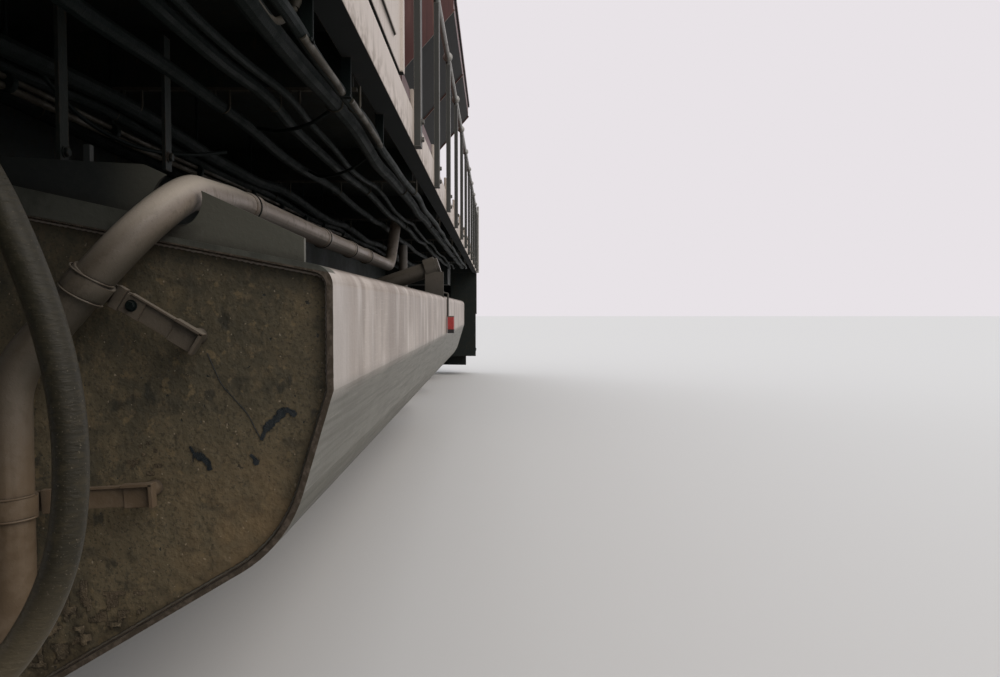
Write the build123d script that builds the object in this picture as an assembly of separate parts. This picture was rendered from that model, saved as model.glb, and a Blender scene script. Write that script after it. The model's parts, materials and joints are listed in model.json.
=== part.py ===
from build123d import *
import os
from math import atan2, cos, degrees, radians, sin

# Six-axle diesel-electric road locomotive, with the fuel tank slung under its platform.
# Millimetres. +X is forward, towards the cab, +Y is the left side and +Z is up. The origin is on
# the floor under the middle of the locomotive, where the wheel flanges stand.

# Wheels and track gauge
wheel_dia = 1067
flange_height = 28
wheel_back_to_back = 1353
rim_width = 140
rim_depth = 75
axle_dia = 200
journal_dia = 160
gear_dia = 800
wheel_r = wheel_dia / 2
flange_r = wheel_r + flange_height
axle_z = flange_r

# Length, width and platform
coupled_length = 22300
platform_length = coupled_length - 1300
body_width = 3120
platform_z = 1864
side_sill_depth = 128
deck_thick = 14
sill_thick = 14
sill_lip = 70
half_len = platform_length / 2
half_w = body_width / 2
deck_under = platform_z - deck_thick
sill_low = platform_z - side_sill_depth

# Corner stairs, pilot and end plate
stair_run = 700
stair_in = 1130
stair_wall = 14
stair_count = 4
stair_low = 330
first_tread_z = 400
tread_rise = 365
tread_inset = 55
tread_depth = 235
tread_thick = 30
pilot_half_w = 1500
pilot_thick = 40
pilot_top = 1056
mouth_half_w = 270
mouth_low = 720
plough_reach = 230
plough_half_w = 1350
plough_low, plough_top = 130, 560
plough_plate = 30
end_plate = 40
end_plate_y = 1116
end_plate_low = 1060
buffer_tread_half = 700
buffer_treads = 5
buffer_tread_pitch = 34
buffer_tread_reach = 130
step_x = half_len - stair_run

# Centre sills, which the tank hangs from, with bolsters, draft boxes and cross-bearers
centre_sill_y = 430
centre_sill_web = 30
centre_sill_flange = 250
centre_sill_low = 1330
centre_sill_end = half_len - 800
flange_thick = 30
bolster_half = 1250
bolster_run = 600
bolster_low = 1450
centre_plate_dia = 600
kingpin_dia = 180
kingpin_low = 1060
draft_cheek_y = 250
draft_cheek = 30
draft_low = 740
draft_roof_z = 1070
draft_roof = 30
bearer_depth = 146
bearer_pitch = 1500
bearer_thick = 12

# Bogies
bogie_centre = half_len - 3500
axle_pitch = 2010
frame_y_in = 960
frame_y_out = 1140
frame_top = 1080
frame_beam_low = 890
frame_pocket = 50
pedestal_gap = 380
pedestal_leg = 120
pedestal_low = 400
frame_half_len = 2560
transom_in, transom_out = 875, 1135
spine_half = 350
spine_low, spine_top = 960, 1100
axle_box_low = 420
axle_box_top = 735
axle_box_in, axle_box_out = 945, 1165
cover_dia = 250
cover_thick = 50
spring_y = 1050
spring_dia = 144
motor_dia = 580
motor_len = 1040
motor_reach = 560
motor_z = 590
pivot_gap = 0.3
bowl_top = 1185
bowl_dia = 680
pin_clearance = 5
journal_clearance = 0.3
shoe_gap = 8
shoe_y_in, shoe_y_out = 718, 806
brake_pot_dia = 196
brake_pot_len = 300
brake_pot_y, brake_pot_z = 1255, 1000

# Couplers
coupler_z = 904
coupler_pivot = half_len - 600
coupler_pin_dia = 90
coupler_pin_clearance = 0.3
coupler_face = coupled_length / 2
coupler_half_h = 140
shank_half = 65

# Fuel tank
tank_front = bogie_centre - 4870
tank_rear = 2820 - bogie_centre
tank_half_w = half_w
tank_low = 230
tank_crown_half = 900
tank_shoulder_z = 1205
tank_shoulder_r = 40
tank_knuckle_z = 976
tank_bilge_y = 1472
tank_bilge_z = 684
tank_bilge_r = 260
tank_floor_half = 700
tank_lip = 22
tank_wrapper = 12
support_back = 45
support_thick = 15
ledge_height = 46
ledge_half_w = 1205

# Drain pipe, its couplings and its clamps
pipe_dia = 70
pipe_y, pipe_z = 1180, 1408
pipe_rear_x = tank_front - 3670
pipe_drop_x = tank_front + 83
pipe_coupling_xs = (tank_front - 725, tank_front - 1660, tank_front - 2245, tank_front - 2710)
coupling_proud = 4
coupling_len = 50
clamp_bar = 8
clamp_bar_h = 36
clamp_strap_proud = 5

# Drain hose and its valve
hose_dia = 40
hose_x = tank_front + 550
fitting_dia = hose_dia + 16

# Air reservoirs
reservoir_dia = 460
reservoir_z = 1030
reservoir_xs = (tank_front + 1170, tank_front + 550)
reservoir_len = 1500
band_y = 430

# Fuel filler, its guard, the standpipe beside it and the cut-off handle
filler_x = tank_front - 3360
filler_dia = 96
filler_collar = 128
filler_cap = 104
guard_thick = 12
standpipe_x = filler_x - 550
standpipe_y, standpipe_top = 1240, 1560
standpipe_dia = 56
handle_x = filler_x - 150
handle_low, handle_top = 977, 1084

# Cab, nose, cabinet and hoods
wall = 60
cab_front = half_len - 2850
cab_rear = cab_front - 2750
cab_half_w = half_w - 10
body_gap = 44
cab_floor_z = 2000
cab_eaves_z = 4150
cab_roof_z = 4620
cab_visor = 90
cooler_height = 160
window_low, window_top = 3050, 3760
screen_low, screen_top = 3560, 4230
glass_thick = 12
nose_front = half_len - 1250
nose_shoulder_x = nose_front - 200
nose_front_half = 1000
nose_shoulder_half = 1330
nose_root_half = 1480
nose_floor_z = 1934
nose_top_z = 3470
nose_drop = 150
nose_brow_z = 3170
hood_half_w = 890
hood_roof_z = 4330
blower_roof_z = 4420
cabinet_rear = cab_rear - 3975
cabinet_top_z = 3900
rad_rear = 1290 - half_len
rad_front = rad_rear + 4530
rad_half_w = hood_half_w + 10
rad_roof_z = 4580
wing_half_w = 1436
wing_root_z = 3614
wing_low_z = 4225
wing_top_z = 4400
fan_dia = 1150
fan_ring = 45
fan_proud = 80
fan_well = 160
brake_fan_dia = 820
hub_dia = 220
panel_proud = 10
panel_pitch = 595
door_gap = 5
leaf_thick = 50
hinge_r = 11
hinge_stand_off = 14
hinge_knuckle = 45
hinge_strap = 46
hinge_plate = 8
hinge_gap = 0.3
handle_proud = 35

# Handrails
post_thick = 25
post_len = 64
post_count, more_on_right = 11, 4
first_post_x = cabinet_rear - 330
last_post_x = 1245 - half_len
post_pitch = (first_post_x - last_post_x) / (post_count - 1)
post_top = 2640
post_ball_dia = 60
post_tab_len, post_tab_top = 100, 1942
rail_dia = 32
rail_y = half_w + 9
rail_z = 2692
end_rail_z = 2805
end_rail_low_z = 2330
grip_top = 2845

cab_low = platform_z + body_gap
hood_panel_low = 1960
hood_panel_top = 3500


def box(x0, x1, y0, y1, z0, z1):
    """A box between two corners."""
    middle = Pos((x0 + x1) / 2, (y0 + y1) / 2, (z0 + z1) / 2)
    return middle * Box(abs(x1 - x0), abs(y1 - y0), abs(z1 - z0))


def rod(start, end, dia):
    """A round bar from one point to another."""
    a, b = Vector(*start), Vector(*end)
    d = b - a
    return Plane(origin=a + d * 0.5, z_dir=d) * Cylinder(dia / 2, d.length)


def drum(x, y, z0, z1, dia):
    """An upright round bar from z0 to z1."""
    return Pos(x, y, (z0 + z1) / 2) * Cylinder(dia / 2, z1 - z0)


def prism(points, direction):
    """A flat outline of 3-D points, pushed along a vector."""
    face = make_face(Polyline(*points, close=True))
    push = Vector(*direction)
    return extrude(face, amount=push.length, dir=push.normalized())


def prism_x(outline, x0, x1):
    """An outline of (y, z) points, from x0 to x1."""
    return prism([(x0, y, z) for y, z in outline], (x1 - x0, 0, 0))


def prism_y(outline, y0, y1):
    """An outline of (x, z) points, from y0 to y1."""
    return prism([(x, y0, z) for x, z in outline], (0, y1 - y0, 0))


def prism_z(outline, z0, z1):
    """An outline of (x, y) points, from z0 to z1."""
    return prism([(x, y, z0) for x, y in outline], (0, 0, z1 - z0))


def both_halves(half):
    """A closed outline from the points of its +y half, listed from the centre line round to it again."""
    return half + [(-y, z) for y, z in reversed(half) if y]


def left_right(shape):
    """A shape and its mirror image across the centre line."""
    return [shape, mirror(shape, about=Plane.XZ)]


def fused(shapes):
    """One shape from several that touch or overlap."""
    first, *rest = shapes
    return first.fuse(*rest).clean() if rest else first


def hinges(corner, along, out, heights, wall_back=0):
    """Hinges up a door's edge, as the door's halves and the wall's halves.

    corner is the (x, y) of the middle of the gap beside the door, level with the door's outer face.
    along points from there into the door and out points away from its face, both as (x, y).
    wall_back is how far the wall's surface lies behind the door's outer face.
    """
    def spot(into, off):
        return corner[0] + along[0] * into + out[0] * off, corner[1] + along[1] * into + out[1] * off

    def half(z, way, behind):
        x, y = spot(0, hinge_stand_off)
        (x0, y0), (x1, y1) = spot(way * door_gap / 2, -behind), spot(way * hinge_strap, hinge_plate)
        strap = box(x0, x1, y0, y1, z, z + hinge_knuckle)
        return fused([drum(x, y, z, z + hinge_knuckle, 2 * hinge_r), strap])

    on_door = [half(z + hinge_gap, 1, 0) for z in heights]
    on_wall = [half(z - hinge_knuckle, -1, wall_back) for z in heights]
    return on_door, on_wall


def write(name, shapes):
    """Writes one named node from a shape or a list of separate shapes."""
    shapes = shapes if isinstance(shapes, list) else [shapes]
    solids = [s for shape in shapes for s in shape.solids()]
    export_step(Compound(children=solids) if len(solids) > 1 else solids[0], f"parts/{name}.step")


def tube(points, radii, dia):
    """A round tube along straight runs joined by arcs of the given radii."""
    path = FilletPolyline(*points, radius=radii) if radii else Polyline(*points)
    start = Plane(origin=path @ 0, z_dir=path % 0)
    return sweep(start * Circle(dia / 2), path=path)


# Underframe

def deck():
    """The deck plate, with its end plates and the treads over the couplers."""
    deck_edge = half_w - sill_thick
    plate = box(-half_len, half_len, -deck_edge, deck_edge, deck_under, platform_z)
    first_z = deck_under - buffer_treads * buffer_tread_pitch + 10
    pieces = []
    for s in (-1, 1):
        end = s * half_len
        for y in (-1, 1):
            plate -= box(s * step_x, end + s, y * stair_in, y * half_w, deck_under - 1, platform_z + 1)
        pieces.append(box(end - s * end_plate, end, -end_plate_y, end_plate_y, end_plate_low, deck_under))
        pieces.append(box(end, end + s * 20, -buffer_tread_half, buffer_tread_half, first_z, deck_under - 12))
        for n in range(buffer_treads):
            z = first_z + buffer_tread_pitch * n
            reach = end + s * buffer_tread_reach
            pieces.append(box(end, reach, -buffer_tread_half, buffer_tread_half, z, z + 12))
    return fused([plate, *pieces])


def centre_sills():
    """The two long beams under the deck."""
    web_in, web_out = centre_sill_y - centre_sill_web / 2, centre_sill_y + centre_sill_web / 2
    flange_in, flange_out = centre_sill_y - centre_sill_flange / 2, centre_sill_y + centre_sill_flange / 2
    end, low = centre_sill_end, centre_sill_low
    web = box(-end, end, web_in, web_out, low, deck_under)
    flange = box(-end, end, flange_in, flange_out, low, low + flange_thick)
    return left_right(fused([web, flange]))


def bolsters():
    """A cross member over each bogie, with its centre plate and kingpin."""
    beams = centre_sills()
    made = []
    for x in (-bogie_centre, bogie_centre):
        half_run = bolster_run / 2
        member = box(x - half_run, x + half_run, -bolster_half, bolster_half, bolster_low, deck_under)
        plate = drum(x, 0, bowl_top + pivot_gap, bolster_low, centre_plate_dia)
        pin = drum(x, 0, kingpin_low, bolster_low, kingpin_dia)
        made.append(fused([member, plate, pin]) - beams[0] - beams[1])
    return made


def draft_boxes():
    """Each end's box round the coupler's tail: two cheeks, a roof, a floor, a back plate and the draft pin."""
    beams = centre_sills()
    made = []
    for s in (-1, 1):
        mouth = s * (half_len - end_plate)
        back = s * (centre_sill_end - 50)
        cheek_from = s * (centre_sill_end + 60)
        cheek_out = draft_cheek_y + draft_cheek
        pieces = []
        for y in (-1, 1):
            cheek_top = centre_sill_low + flange_thick
            pieces.append(box(cheek_from, mouth, y * draft_cheek_y, y * cheek_out, draft_low, cheek_top))
        roof_half = cheek_out + 25
        pieces.append(box(back, mouth, -roof_half, roof_half, draft_roof_z, draft_roof_z + draft_roof))
        pieces.append(box(s * centre_sill_end, mouth, -cheek_out, cheek_out, draft_low, draft_low + 25))
        pieces.append(box(back, cheek_from, -centre_sill_y, centre_sill_y, draft_roof_z, deck_under))
        pieces.append(drum(s * coupler_pivot, 0, draft_low + 20, draft_roof_z + 5, coupler_pin_dia))
        made.append(fused(pieces) - beams[0] - beams[1])
    return made


def bearer_places():
    """Where the cross-bearers stand, clear of the bolsters."""
    count = int((half_len - bearer_pitch) / bearer_pitch)
    xs = [n * bearer_pitch for n in range(-count, count + 1)]
    return [x for x in xs if abs(abs(x) - bogie_centre) >= bolster_run]


def cross_bearers():
    """Plates across the frame, from the centre sills out to the side sills."""
    inner, outer = centre_sill_y + centre_sill_web / 2, half_w - sill_lip
    made = []
    for x in bearer_places():
        made += left_right(box(x, x + bearer_thick, inner, outer, deck_under - bearer_depth, deck_under))
    return made


def post_places(s):
    """Where the walkway's posts stand on one side. The right side has more, beside the blower hood."""
    extra = 0 if s > 0 else more_on_right
    xs = [first_post_x + (extra - n) * post_pitch for n in range(post_count + extra)]
    return [x for x in xs if x < cab_rear - post_len]


def side_sills():
    """The channel along each side of the platform, with a tab behind each rail post."""
    made = []
    for s in (-1, 1):
        end = step_x - stair_wall
        face_in = half_w - sill_thick
        face = box(-end, end, s * face_in, s * half_w, sill_low, platform_z)
        lip = box(-end, end, s * (half_w - sill_lip), s * face_in, sill_low, sill_low + sill_thick)
        half_tab = post_tab_len / 2
        tabs = [
            box(x - half_tab, x + half_tab, s * face_in, s * half_w, platform_z, post_tab_top)
            for x in post_places(s)
        ]
        made.append(fused([face, lip, *tabs]))
    return made


def pilot(s):
    """One end's pilot: a plate with the coupler's mouth in it, a plough and the two corner stairs."""
    face = s * half_len
    stairs_to = face - s * 10
    inner = s * (step_x - stair_wall)
    plate = box(face - s * pilot_thick, face, -pilot_half_w, pilot_half_w, stair_low, pilot_top)
    plate -= box(face - s * (pilot_thick + 1), face + s, -mouth_half_w, mouth_half_w, mouth_low, pilot_top + 1)
    tip = face + s * plough_reach
    back = tip - s * plough_plate
    width = plough_half_w
    blade = prism_z([(face, -width), (tip, -150), (tip, 150), (face, width)], plough_low, plough_top)
    hollow = [(face - s, 60 - width), (back, -110), (back, 110), (face - s, width - 60)]
    blade -= prism_z(hollow, plough_low - 1, plough_top + 1)
    rim = box(face - s * pilot_thick, face, -width, width, stair_low - 50, stair_low + 10)
    pieces = [plate, blade, rim]
    for y in (-1, 1):
        stair_out = half_w - 20
        pieces.append(box(inner, s * step_x, y * stair_in, y * stair_out, stair_low, deck_under))
        pieces.append(box(face - s * stair_wall, face, y * stair_in, y * stair_out, pilot_top - 16, platform_z))
        pieces.append(box(inner, face, y * (stair_in - stair_wall), y * stair_in, mouth_low - 20, deck_under))
        for n in range(stair_count):
            z = first_tread_z + tread_rise * n
            y_in = 1300 - tread_inset * n
            pieces.append(box(inner, stairs_to, y * y_in, y * (y_in + tread_depth), z, z + tread_thick))
    return fused(pieces)


# Fuel tank and its fittings

knuckle_share, wrapper_share = 0.96, 0.3


def tank_outline(inset=0):
    """The tank's section as (y, z), drawn in by inset."""
    top = centre_sill_low - inset
    half = [
        (0, top),
        (tank_crown_half, top),
        (tank_half_w - inset, tank_shoulder_z - inset),
        (tank_half_w - inset, tank_knuckle_z),
        (tank_bilge_y - inset * knuckle_share, tank_bilge_z + inset * wrapper_share),
        (tank_floor_half - inset * wrapper_share, tank_low + inset),
        (0, tank_low + inset),
    ]
    return both_halves(half)


def edges_at(body, y):
    """The edges along X that lie y from the centre line."""
    return [e for e in body.edges().filter_by(Axis.X) if abs(abs(e.center().Y) - y) < 1]


def tank_section(x0, x1, inset):
    """The tank's section pushed from x0 to x1, with its shoulders and bilges rounded."""
    body = prism_x(tank_outline(inset), x0, x1)
    shoulder = [e for e in edges_at(body, tank_half_w - inset) if e.center().Z > tank_knuckle_z + 1]
    body = fillet(shoulder, tank_shoulder_r - inset)
    return fillet(edges_at(body, tank_bilge_y - inset * knuckle_share), tank_bilge_r)


def crown_z(y):
    """The height of the tank's sloping top at y, outside its flat crown."""
    fall = (centre_sill_low - tank_shoulder_z) / (tank_half_w - tank_crown_half)
    return centre_sill_low - max(0, y - tank_crown_half) * fall


def tank_support():
    """The left half of the plate across the tank behind its front rim, cut round the drain pipe."""
    y0 = centre_sill_y + centre_sill_flange / 2
    y2, y3 = tank_half_w - 360, tank_half_w - 60
    outline = [(y0, crown_z(y0) - 10), (y0, pipe_z + 26), (y2, pipe_z - 8), (y3, crown_z(y3) + 46)]
    outline += [(y3, crown_z(y3) - 10), (tank_crown_half, centre_sill_low - 10)]
    x = tank_front - support_back
    plate = prism_x(outline, x, x + support_thick)
    rib_y = tank_half_w - 466
    rib = box(x, x + support_thick, rib_y - 6, rib_y + 6, crown_z(rib_y) - 10, pipe_z + 29)
    return fused([plate, rib]) - tube(pipe_path(), pipe_radii, pipe_dia + 24)


def tank_ledge():
    """The left half of the narrow upstand on the front rim's top edge."""
    y0 = centre_sill_y + centre_sill_flange / 2
    y1, y2 = tank_crown_half - 20, ledge_half_w
    outline = [(y0, crown_z(y0) - 10), (y0, crown_z(y0) + ledge_height + 8), (y1, crown_z(y1) + ledge_height)]
    outline += [(y2 - 10, crown_z(y2 - 10) + ledge_height * 0.7), (y2, crown_z(y2) - 10)]
    outline += [(tank_crown_half, centre_sill_low - 10)]
    ledge = prism_x(outline, tank_front - tank_wrapper, tank_front)
    return ledge - tube(pipe_path(), pipe_radii, pipe_dia + 24)


def fuel_tank():
    """The tank: one wrapper plate bent round two end plates that are set in behind its edge."""
    body = tank_section(tank_rear, tank_front, 0)
    for x0, x1 in ((tank_rear - 1, tank_rear + tank_lip), (tank_front - tank_lip, tank_front + 1)):
        body -= tank_section(x0, x1, tank_wrapper)
    return fused([body, *left_right(tank_support()), *left_right(tank_ledge())])


def pipe_path():
    """The drain pipe's corners: down from the deck, forward over the tank and down its front plate."""
    return [
        (pipe_rear_x, pipe_y + 65, deck_under - 10),
        (pipe_rear_x, pipe_y, pipe_z),
        (tank_front - 580, pipe_y, pipe_z),
        (pipe_drop_x, 1296, 1338),
        (pipe_drop_x, 1010, 1011),
        (pipe_drop_x, 1010, 605),
        (pipe_drop_x, 918, 466),
    ]


pipe_radii = [75, 500, 200, 150, 110]
# Each clamp as its strap's (y, z), its bar's length and its bar's rise in degrees
clamps = [(1150, 1170, 205, -31), (1010, 779, 232, 3)]


def pipe_clamp(y, z, reach, rise):
    """A strap round the drop pipe, with a flat bar out to a spacer on the tank's end plate."""
    _, _, _, high, middle, low, _ = pipe_path()
    a, b = (high, middle) if z > middle[2] else (middle, low)
    lean = degrees(atan2(b[1] - a[1], a[2] - b[2]))
    strap = Pos(pipe_drop_x, y, z) * Rot(lean, 0, 0) * Cylinder(pipe_dia / 2 + clamp_strap_proud, 40)
    way = (cos(radians(rise)), sin(radians(rise)))
    bar_x = pipe_drop_x - pipe_dia / 2 - clamp_bar / 2
    flat = Box(clamp_bar, reach, clamp_bar_h)
    bar = Pos(bar_x, y + way[0] * reach / 2, z + way[1] * reach / 2) * Rot(rise, 0, 0) * flat
    foot_y, foot_z = y + way[0] * (reach - 26), z + way[1] * (reach - 26)
    spacer = rod((tank_front - tank_lip, foot_y, foot_z), (bar_x, foot_y, foot_z), 30)
    return fused([strap, bar, spacer])


def tank_pipe():
    """The drain pipe, with its couplings and the two clamps that hold it to the end plate."""
    pieces = [tube(pipe_path(), pipe_radii, pipe_dia)]
    half, sleeve_dia = coupling_len / 2, pipe_dia + 2 * coupling_proud
    for x in pipe_coupling_xs:
        pieces.append(rod((x - half, pipe_y, pipe_z), (x + half, pipe_y, pipe_z), sleeve_dia))
    return fused(pieces + [pipe_clamp(*clamp) for clamp in clamps])


hose_route = [
    (hose_x, 1020, 1600),
    (hose_x, 1090, 1500),
    (hose_x, 1250, 1340),
    (hose_x, 1343, 1130),
    (hose_x, 1372, 955),
    (hose_x, 1347, 790),
    (hose_x, 1240, 650),
    (hose_x, 1060, 530),
]


def hose_radii(points):
    """Each arc as large as its two runs allow."""
    radii = []
    for a, b, c in zip(points, points[1:], points[2:]):
        u, v = Vector(*b) - Vector(*a), Vector(*c) - Vector(*b)
        half_turn = radians(u.get_angle(v)) / 2
        radii.append(0.45 * min(u.length, v.length) * cos(half_turn) / sin(half_turn))
    return radii


def drain_hose():
    """The rubber hose ahead of the tank, from a deck fitting down to the drain valve."""
    radii = hose_radii(hose_route)
    print("hose radii", [round(r) for r in radii])
    return tube(hose_route, radii, hose_dia)


def hose_fittings():
    """The deck fitting, the drain valve and the bracket that carries the valve from a reservoir."""
    top, low = Vector(*hose_route[0]), Vector(*hose_route[-1])
    into_top = (top - Vector(*hose_route[1])).normalized()
    into_low = (low - Vector(*hose_route[-2])).normalized()
    elbow_end = top + into_top * 60
    elbow = tube([top, elbow_end, (hose_x, elbow_end.Y, deck_under)], [90], fitting_dia)
    valve_end = low + into_low * 60
    y, z = valve_end.Y, valve_end.Z
    spigot = rod(low, valve_end, fitting_dia)
    valve = box(hose_x - 45, hose_x + 45, y - 100, y, z - 50, z + 50)
    arm = box(hose_x - 8, hose_x + 8, 600, y - 80, z - 20, z + 20)
    post = box(hose_x - 8, hose_x + 8, 600, 640, z - 20, reservoir_z + 70)
    return [elbow, fused([spigot, valve, arm, post])]


# Each run of cable or air pipe as its y, z and diameter
cable_runs = [
    (660, 1650, 44),
    (860, 1593, 30),
    (915, 1666, 50),
    (1150, 1658, 38),
    (1282, 1660, 34),
    (1440, 1664, 44),
    (1496, 1648, 28),
]
cable_front, cable_rear = bogie_centre - 2700, 310 - bogie_centre


def underdeck_cables():
    """Cables and air pipes under the walkway, with a strap to each cross-bearer on their way."""
    pieces = []
    hang_z = deck_under - bearer_depth
    for y, z, dia in cable_runs:
        half = dia / 2 + 4
        for s in (1, -1):
            run = [rod((cable_rear, s * y, z), (cable_front, s * y, z), dia)]
            for x in bearer_places():
                if cable_rear < x < cable_front - bearer_pitch / 2:
                    run.append(box(x - 10, x + 22, s * y - half, s * y + half, z - half, hang_z))
            pieces.append(fused(run))
    return pieces


def fuel_fillers():
    """Each side's filler neck with its cap and guard, the standpipe behind it and the red cut-off handle."""
    cap_y, cap_z = tank_half_w - 55, centre_sill_low + 56
    neck_y, neck_z = cap_y - 65, cap_z - 22
    root = (filler_x, tank_half_w - 410, tank_shoulder_z + 60)
    neck = rod(root, (filler_x, neck_y, neck_z), filler_dia)
    collar = rod((filler_x, neck_y, neck_z), (filler_x, cap_y, cap_z), filler_collar)
    cap = rod((filler_x, cap_y - 10, cap_z - 3), (filler_x, cap_y + 18, cap_z + 6), filler_cap)
    guard_x = filler_x + filler_collar / 2 - 20
    guard_y = (tank_half_w - 120, tank_half_w - 8)
    guard = box(guard_x, guard_x + guard_thick, *guard_y, tank_shoulder_z - 15, tank_shoulder_z + 147)
    link_z = (tank_shoulder_z + 115, tank_shoulder_z + 145)
    link = box(filler_x - 10, guard_x, guard_y[0], guard_y[0] + 20, *link_z)
    standpipe = drum(standpipe_x, standpipe_y, tank_shoulder_z + 30, standpipe_top, standpipe_dia)
    below = tank_section(standpipe_x - 300, filler_x + 300, 0)
    made = left_right(fused([neck, collar, cap, guard, link]) - below) + left_right(standpipe - below)
    hook_y, hook_z = tank_half_w + 6, tank_shoulder_z + 20
    pieces = []
    for x in (handle_x - 22, handle_x + 22):
        bend = (x, tank_half_w - 90, hook_z + 20)
        pieces.append(rod((x, hook_y, handle_top - 5), (x, hook_y, hook_z), 10))
        pieces.append(rod((x, hook_y, hook_z), bend, 10))
        pieces.append(rod(bend, (x, tank_half_w - 90, hook_z - 15), 10))
    pieces.append(box(handle_x - 32, handle_x + 32, hook_y, tank_half_w + 44, handle_low, handle_top))
    return made + left_right(fused(pieces) - below)


def air_reservoirs():
    """Two main reservoirs across the frame ahead of the tank, each hung in two bands."""
    pieces = []
    r = reservoir_dia / 2
    for x in reservoir_xs:
        shell = Pos(x, -150, reservoir_z) * Rot(90, 0, 0) * Cylinder(r, reservoir_len)
        shell = fillet(shell.edges(), 70)
        bands = [
            box(x - r - 5, x + r + 5, y - 30, y + 30, reservoir_z, centre_sill_low)
            - Pos(x, y, reservoir_z) * Rot(90, 0, 0) * Cylinder(r - 2, 70)
            for y in (-band_y, band_y)
        ]
        pieces.append(fused([shell, *bands]))
    return pieces


# Bogies and wheelsets

def wheelset(x):
    """An axle with its two wheels and its gear."""
    back = wheel_back_to_back / 2
    face = back + rim_width
    rim_r = wheel_r - rim_depth
    seat_r, hub_r, end_y = axle_dia / 2, axle_dia - 10, axle_box_out - 37
    half = [
        (0, seat_r),
        (back - 40, seat_r),
        (back - 36, hub_r),
        (back + 24, hub_r + 10),
        (back + 46, rim_r - 29),
        (back + 14, rim_r - 7),
        (back, rim_r + 11),
        (back, flange_r - 12),
        (back + 8, flange_r),
        (back + 22, flange_r),
        (back + 32, wheel_r + 5),
        (back + 40, wheel_r),
        (face - 6, wheel_r - 4),
        (face, wheel_r - 11),
        (face, rim_r + 11),
        (face - 16, rim_r - 7),
        (back + 80, rim_r - 29),
        (back + 72, hub_r + 10),
        (back + 168, hub_r),
        (back + 168, seat_r + 10),
        (back + 262, journal_dia / 2 + 15),
        (back + 266, journal_dia / 2),
        (end_y, journal_dia / 2),
    ]
    ring = [(-end_y, 0)] + [(-y, r) for y, r in reversed(half)] + half[1:] + [(end_y, 0)]
    face_2d = make_face(Polyline(*[(x, y, axle_z + r) for y, r in ring], close=True))
    turned = revolve(face_2d, axis=Axis((x, 0, axle_z), (0, 1, 0)))
    gear = Pos(x, back - 92, axle_z) * Rot(90, 0, 0) * Cylinder(gear_dia / 2, 80)
    return fused([turned, gear])


def side_frame_outline(centre):
    """One cast side frame as (x, z): a beam with a pair of pedestal legs round each axle box."""
    half_gap = pedestal_gap / 2
    leg = half_gap + pedestal_leg
    knee_z, root_z = pedestal_low + 240, frame_beam_low - 40
    low = []
    for a in (-axle_pitch, 0, axle_pitch):
        left = [(-leg - 130, root_z), (-leg, knee_z), (15 - leg, pedestal_low), (-half_gap, pedestal_low)]
        left.append((-half_gap, frame_beam_low))
        low += [(a + x, z) for x, z in left]
        low += [(a - x, z) for x, z in reversed(left)]
    ends = [(frame_half_len, frame_beam_low + 10), (frame_half_len, frame_top - 80)]
    ends.append((frame_half_len - 130, frame_top))
    top = ends + [(-x, z) for x, z in reversed(ends)]
    return [(centre + x, z) for x, z in low + top]


def frame_pockets(centre):
    """The pockets cast into a side frame's outer face, on both sides of each brake cylinder's saddle."""
    leg = pedestal_gap / 2 + pedestal_leg
    made = []
    for way in (-1, 1):
        for x0, x1 in ((leg + 30, axle_pitch / 2 - 140), (axle_pitch / 2 + 140, axle_pitch - leg - 30)):
            pocket = box(
                centre + way * x0, centre + way * x1, frame_y_out - frame_pocket, frame_y_out + 1,
                frame_beam_low + 40, frame_top - 45,
            )
            made += left_right(fillet(pocket.edges().filter_by(Axis.Y), 30))
    return made


def bogie_frame(centre):
    """Two side frames, transoms, end beams and the spine that carries the centre bowl."""
    outline = side_frame_outline(centre)
    pieces = [prism_y(outline, s * frame_y_in, s * frame_y_out) for s in (-1, 1)]
    for s in (-1, 1):
        span = (centre + s * transom_in, centre + s * transom_out)
        pieces.append(box(*span, -frame_y_in, frame_y_in, frame_beam_low - 10, frame_top - 20))
        end = centre + s * frame_half_len
        pieces.append(box(end - s * 60, end, -frame_y_in, frame_y_in, frame_beam_low + 10, frame_top - 80))
    spine = (centre - transom_out, centre + transom_out)
    pieces.append(box(*spine, -spine_half, spine_half, spine_low, spine_top))
    pieces.append(drum(centre, 0, spine_top, bowl_top, bowl_dia))
    frame = fused(pieces)
    for pocket in frame_pockets(centre):
        frame -= pocket
    return frame - drum(centre, 0, spine_low - 40, bowl_top + 35, kingpin_dia + 2 * pin_clearance)


def axle_boxes(centre):
    """The six axle boxes, each bored for its journal, with a round cover."""
    half_gap = pedestal_gap / 2
    made = []
    for a in (-axle_pitch, 0, axle_pitch):
        x = centre + a
        body = box(x - half_gap, x + half_gap, axle_box_in, axle_box_out, axle_box_low, axle_box_top)
        cover = Pos(x, axle_box_out + 25, axle_z) * Rot(90, 0, 0) * Cylinder(cover_dia / 2, cover_thick)
        bore_r = journal_dia / 2 + journal_clearance
        bore = Pos(x, axle_box_out - 128, axle_z) * Rot(90, 0, 0) * Cylinder(bore_r, 194)
        made += left_right(fused([body, cover]) - bore)
    return made


def springs(centre):
    """Two coil springs on each axle box, drawn as a stack of coils."""
    coils = 5
    r = spring_dia / 2
    rise = (frame_beam_low - axle_box_top) / coils
    outline = [(0, 0)]
    for n in range(coils):
        outline += [(r - 14, n * rise), (r, n * rise + rise * 0.3), (r, n * rise + rise * 0.7)]
    outline += [(r - 14, coils * rise), (0, coils * rise)]
    face = make_face(Polyline(*[(r, 0, h) for r, h in outline], close=True))
    coil = revolve(face, axis=Axis.Z)
    made = []
    for a in (-axle_pitch, 0, axle_pitch):
        for dx in (-pedestal_gap / 4, pedestal_gap / 4):
            made += left_right(Pos(centre + a + dx, spring_y, axle_box_top) * coil)
    return made


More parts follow.
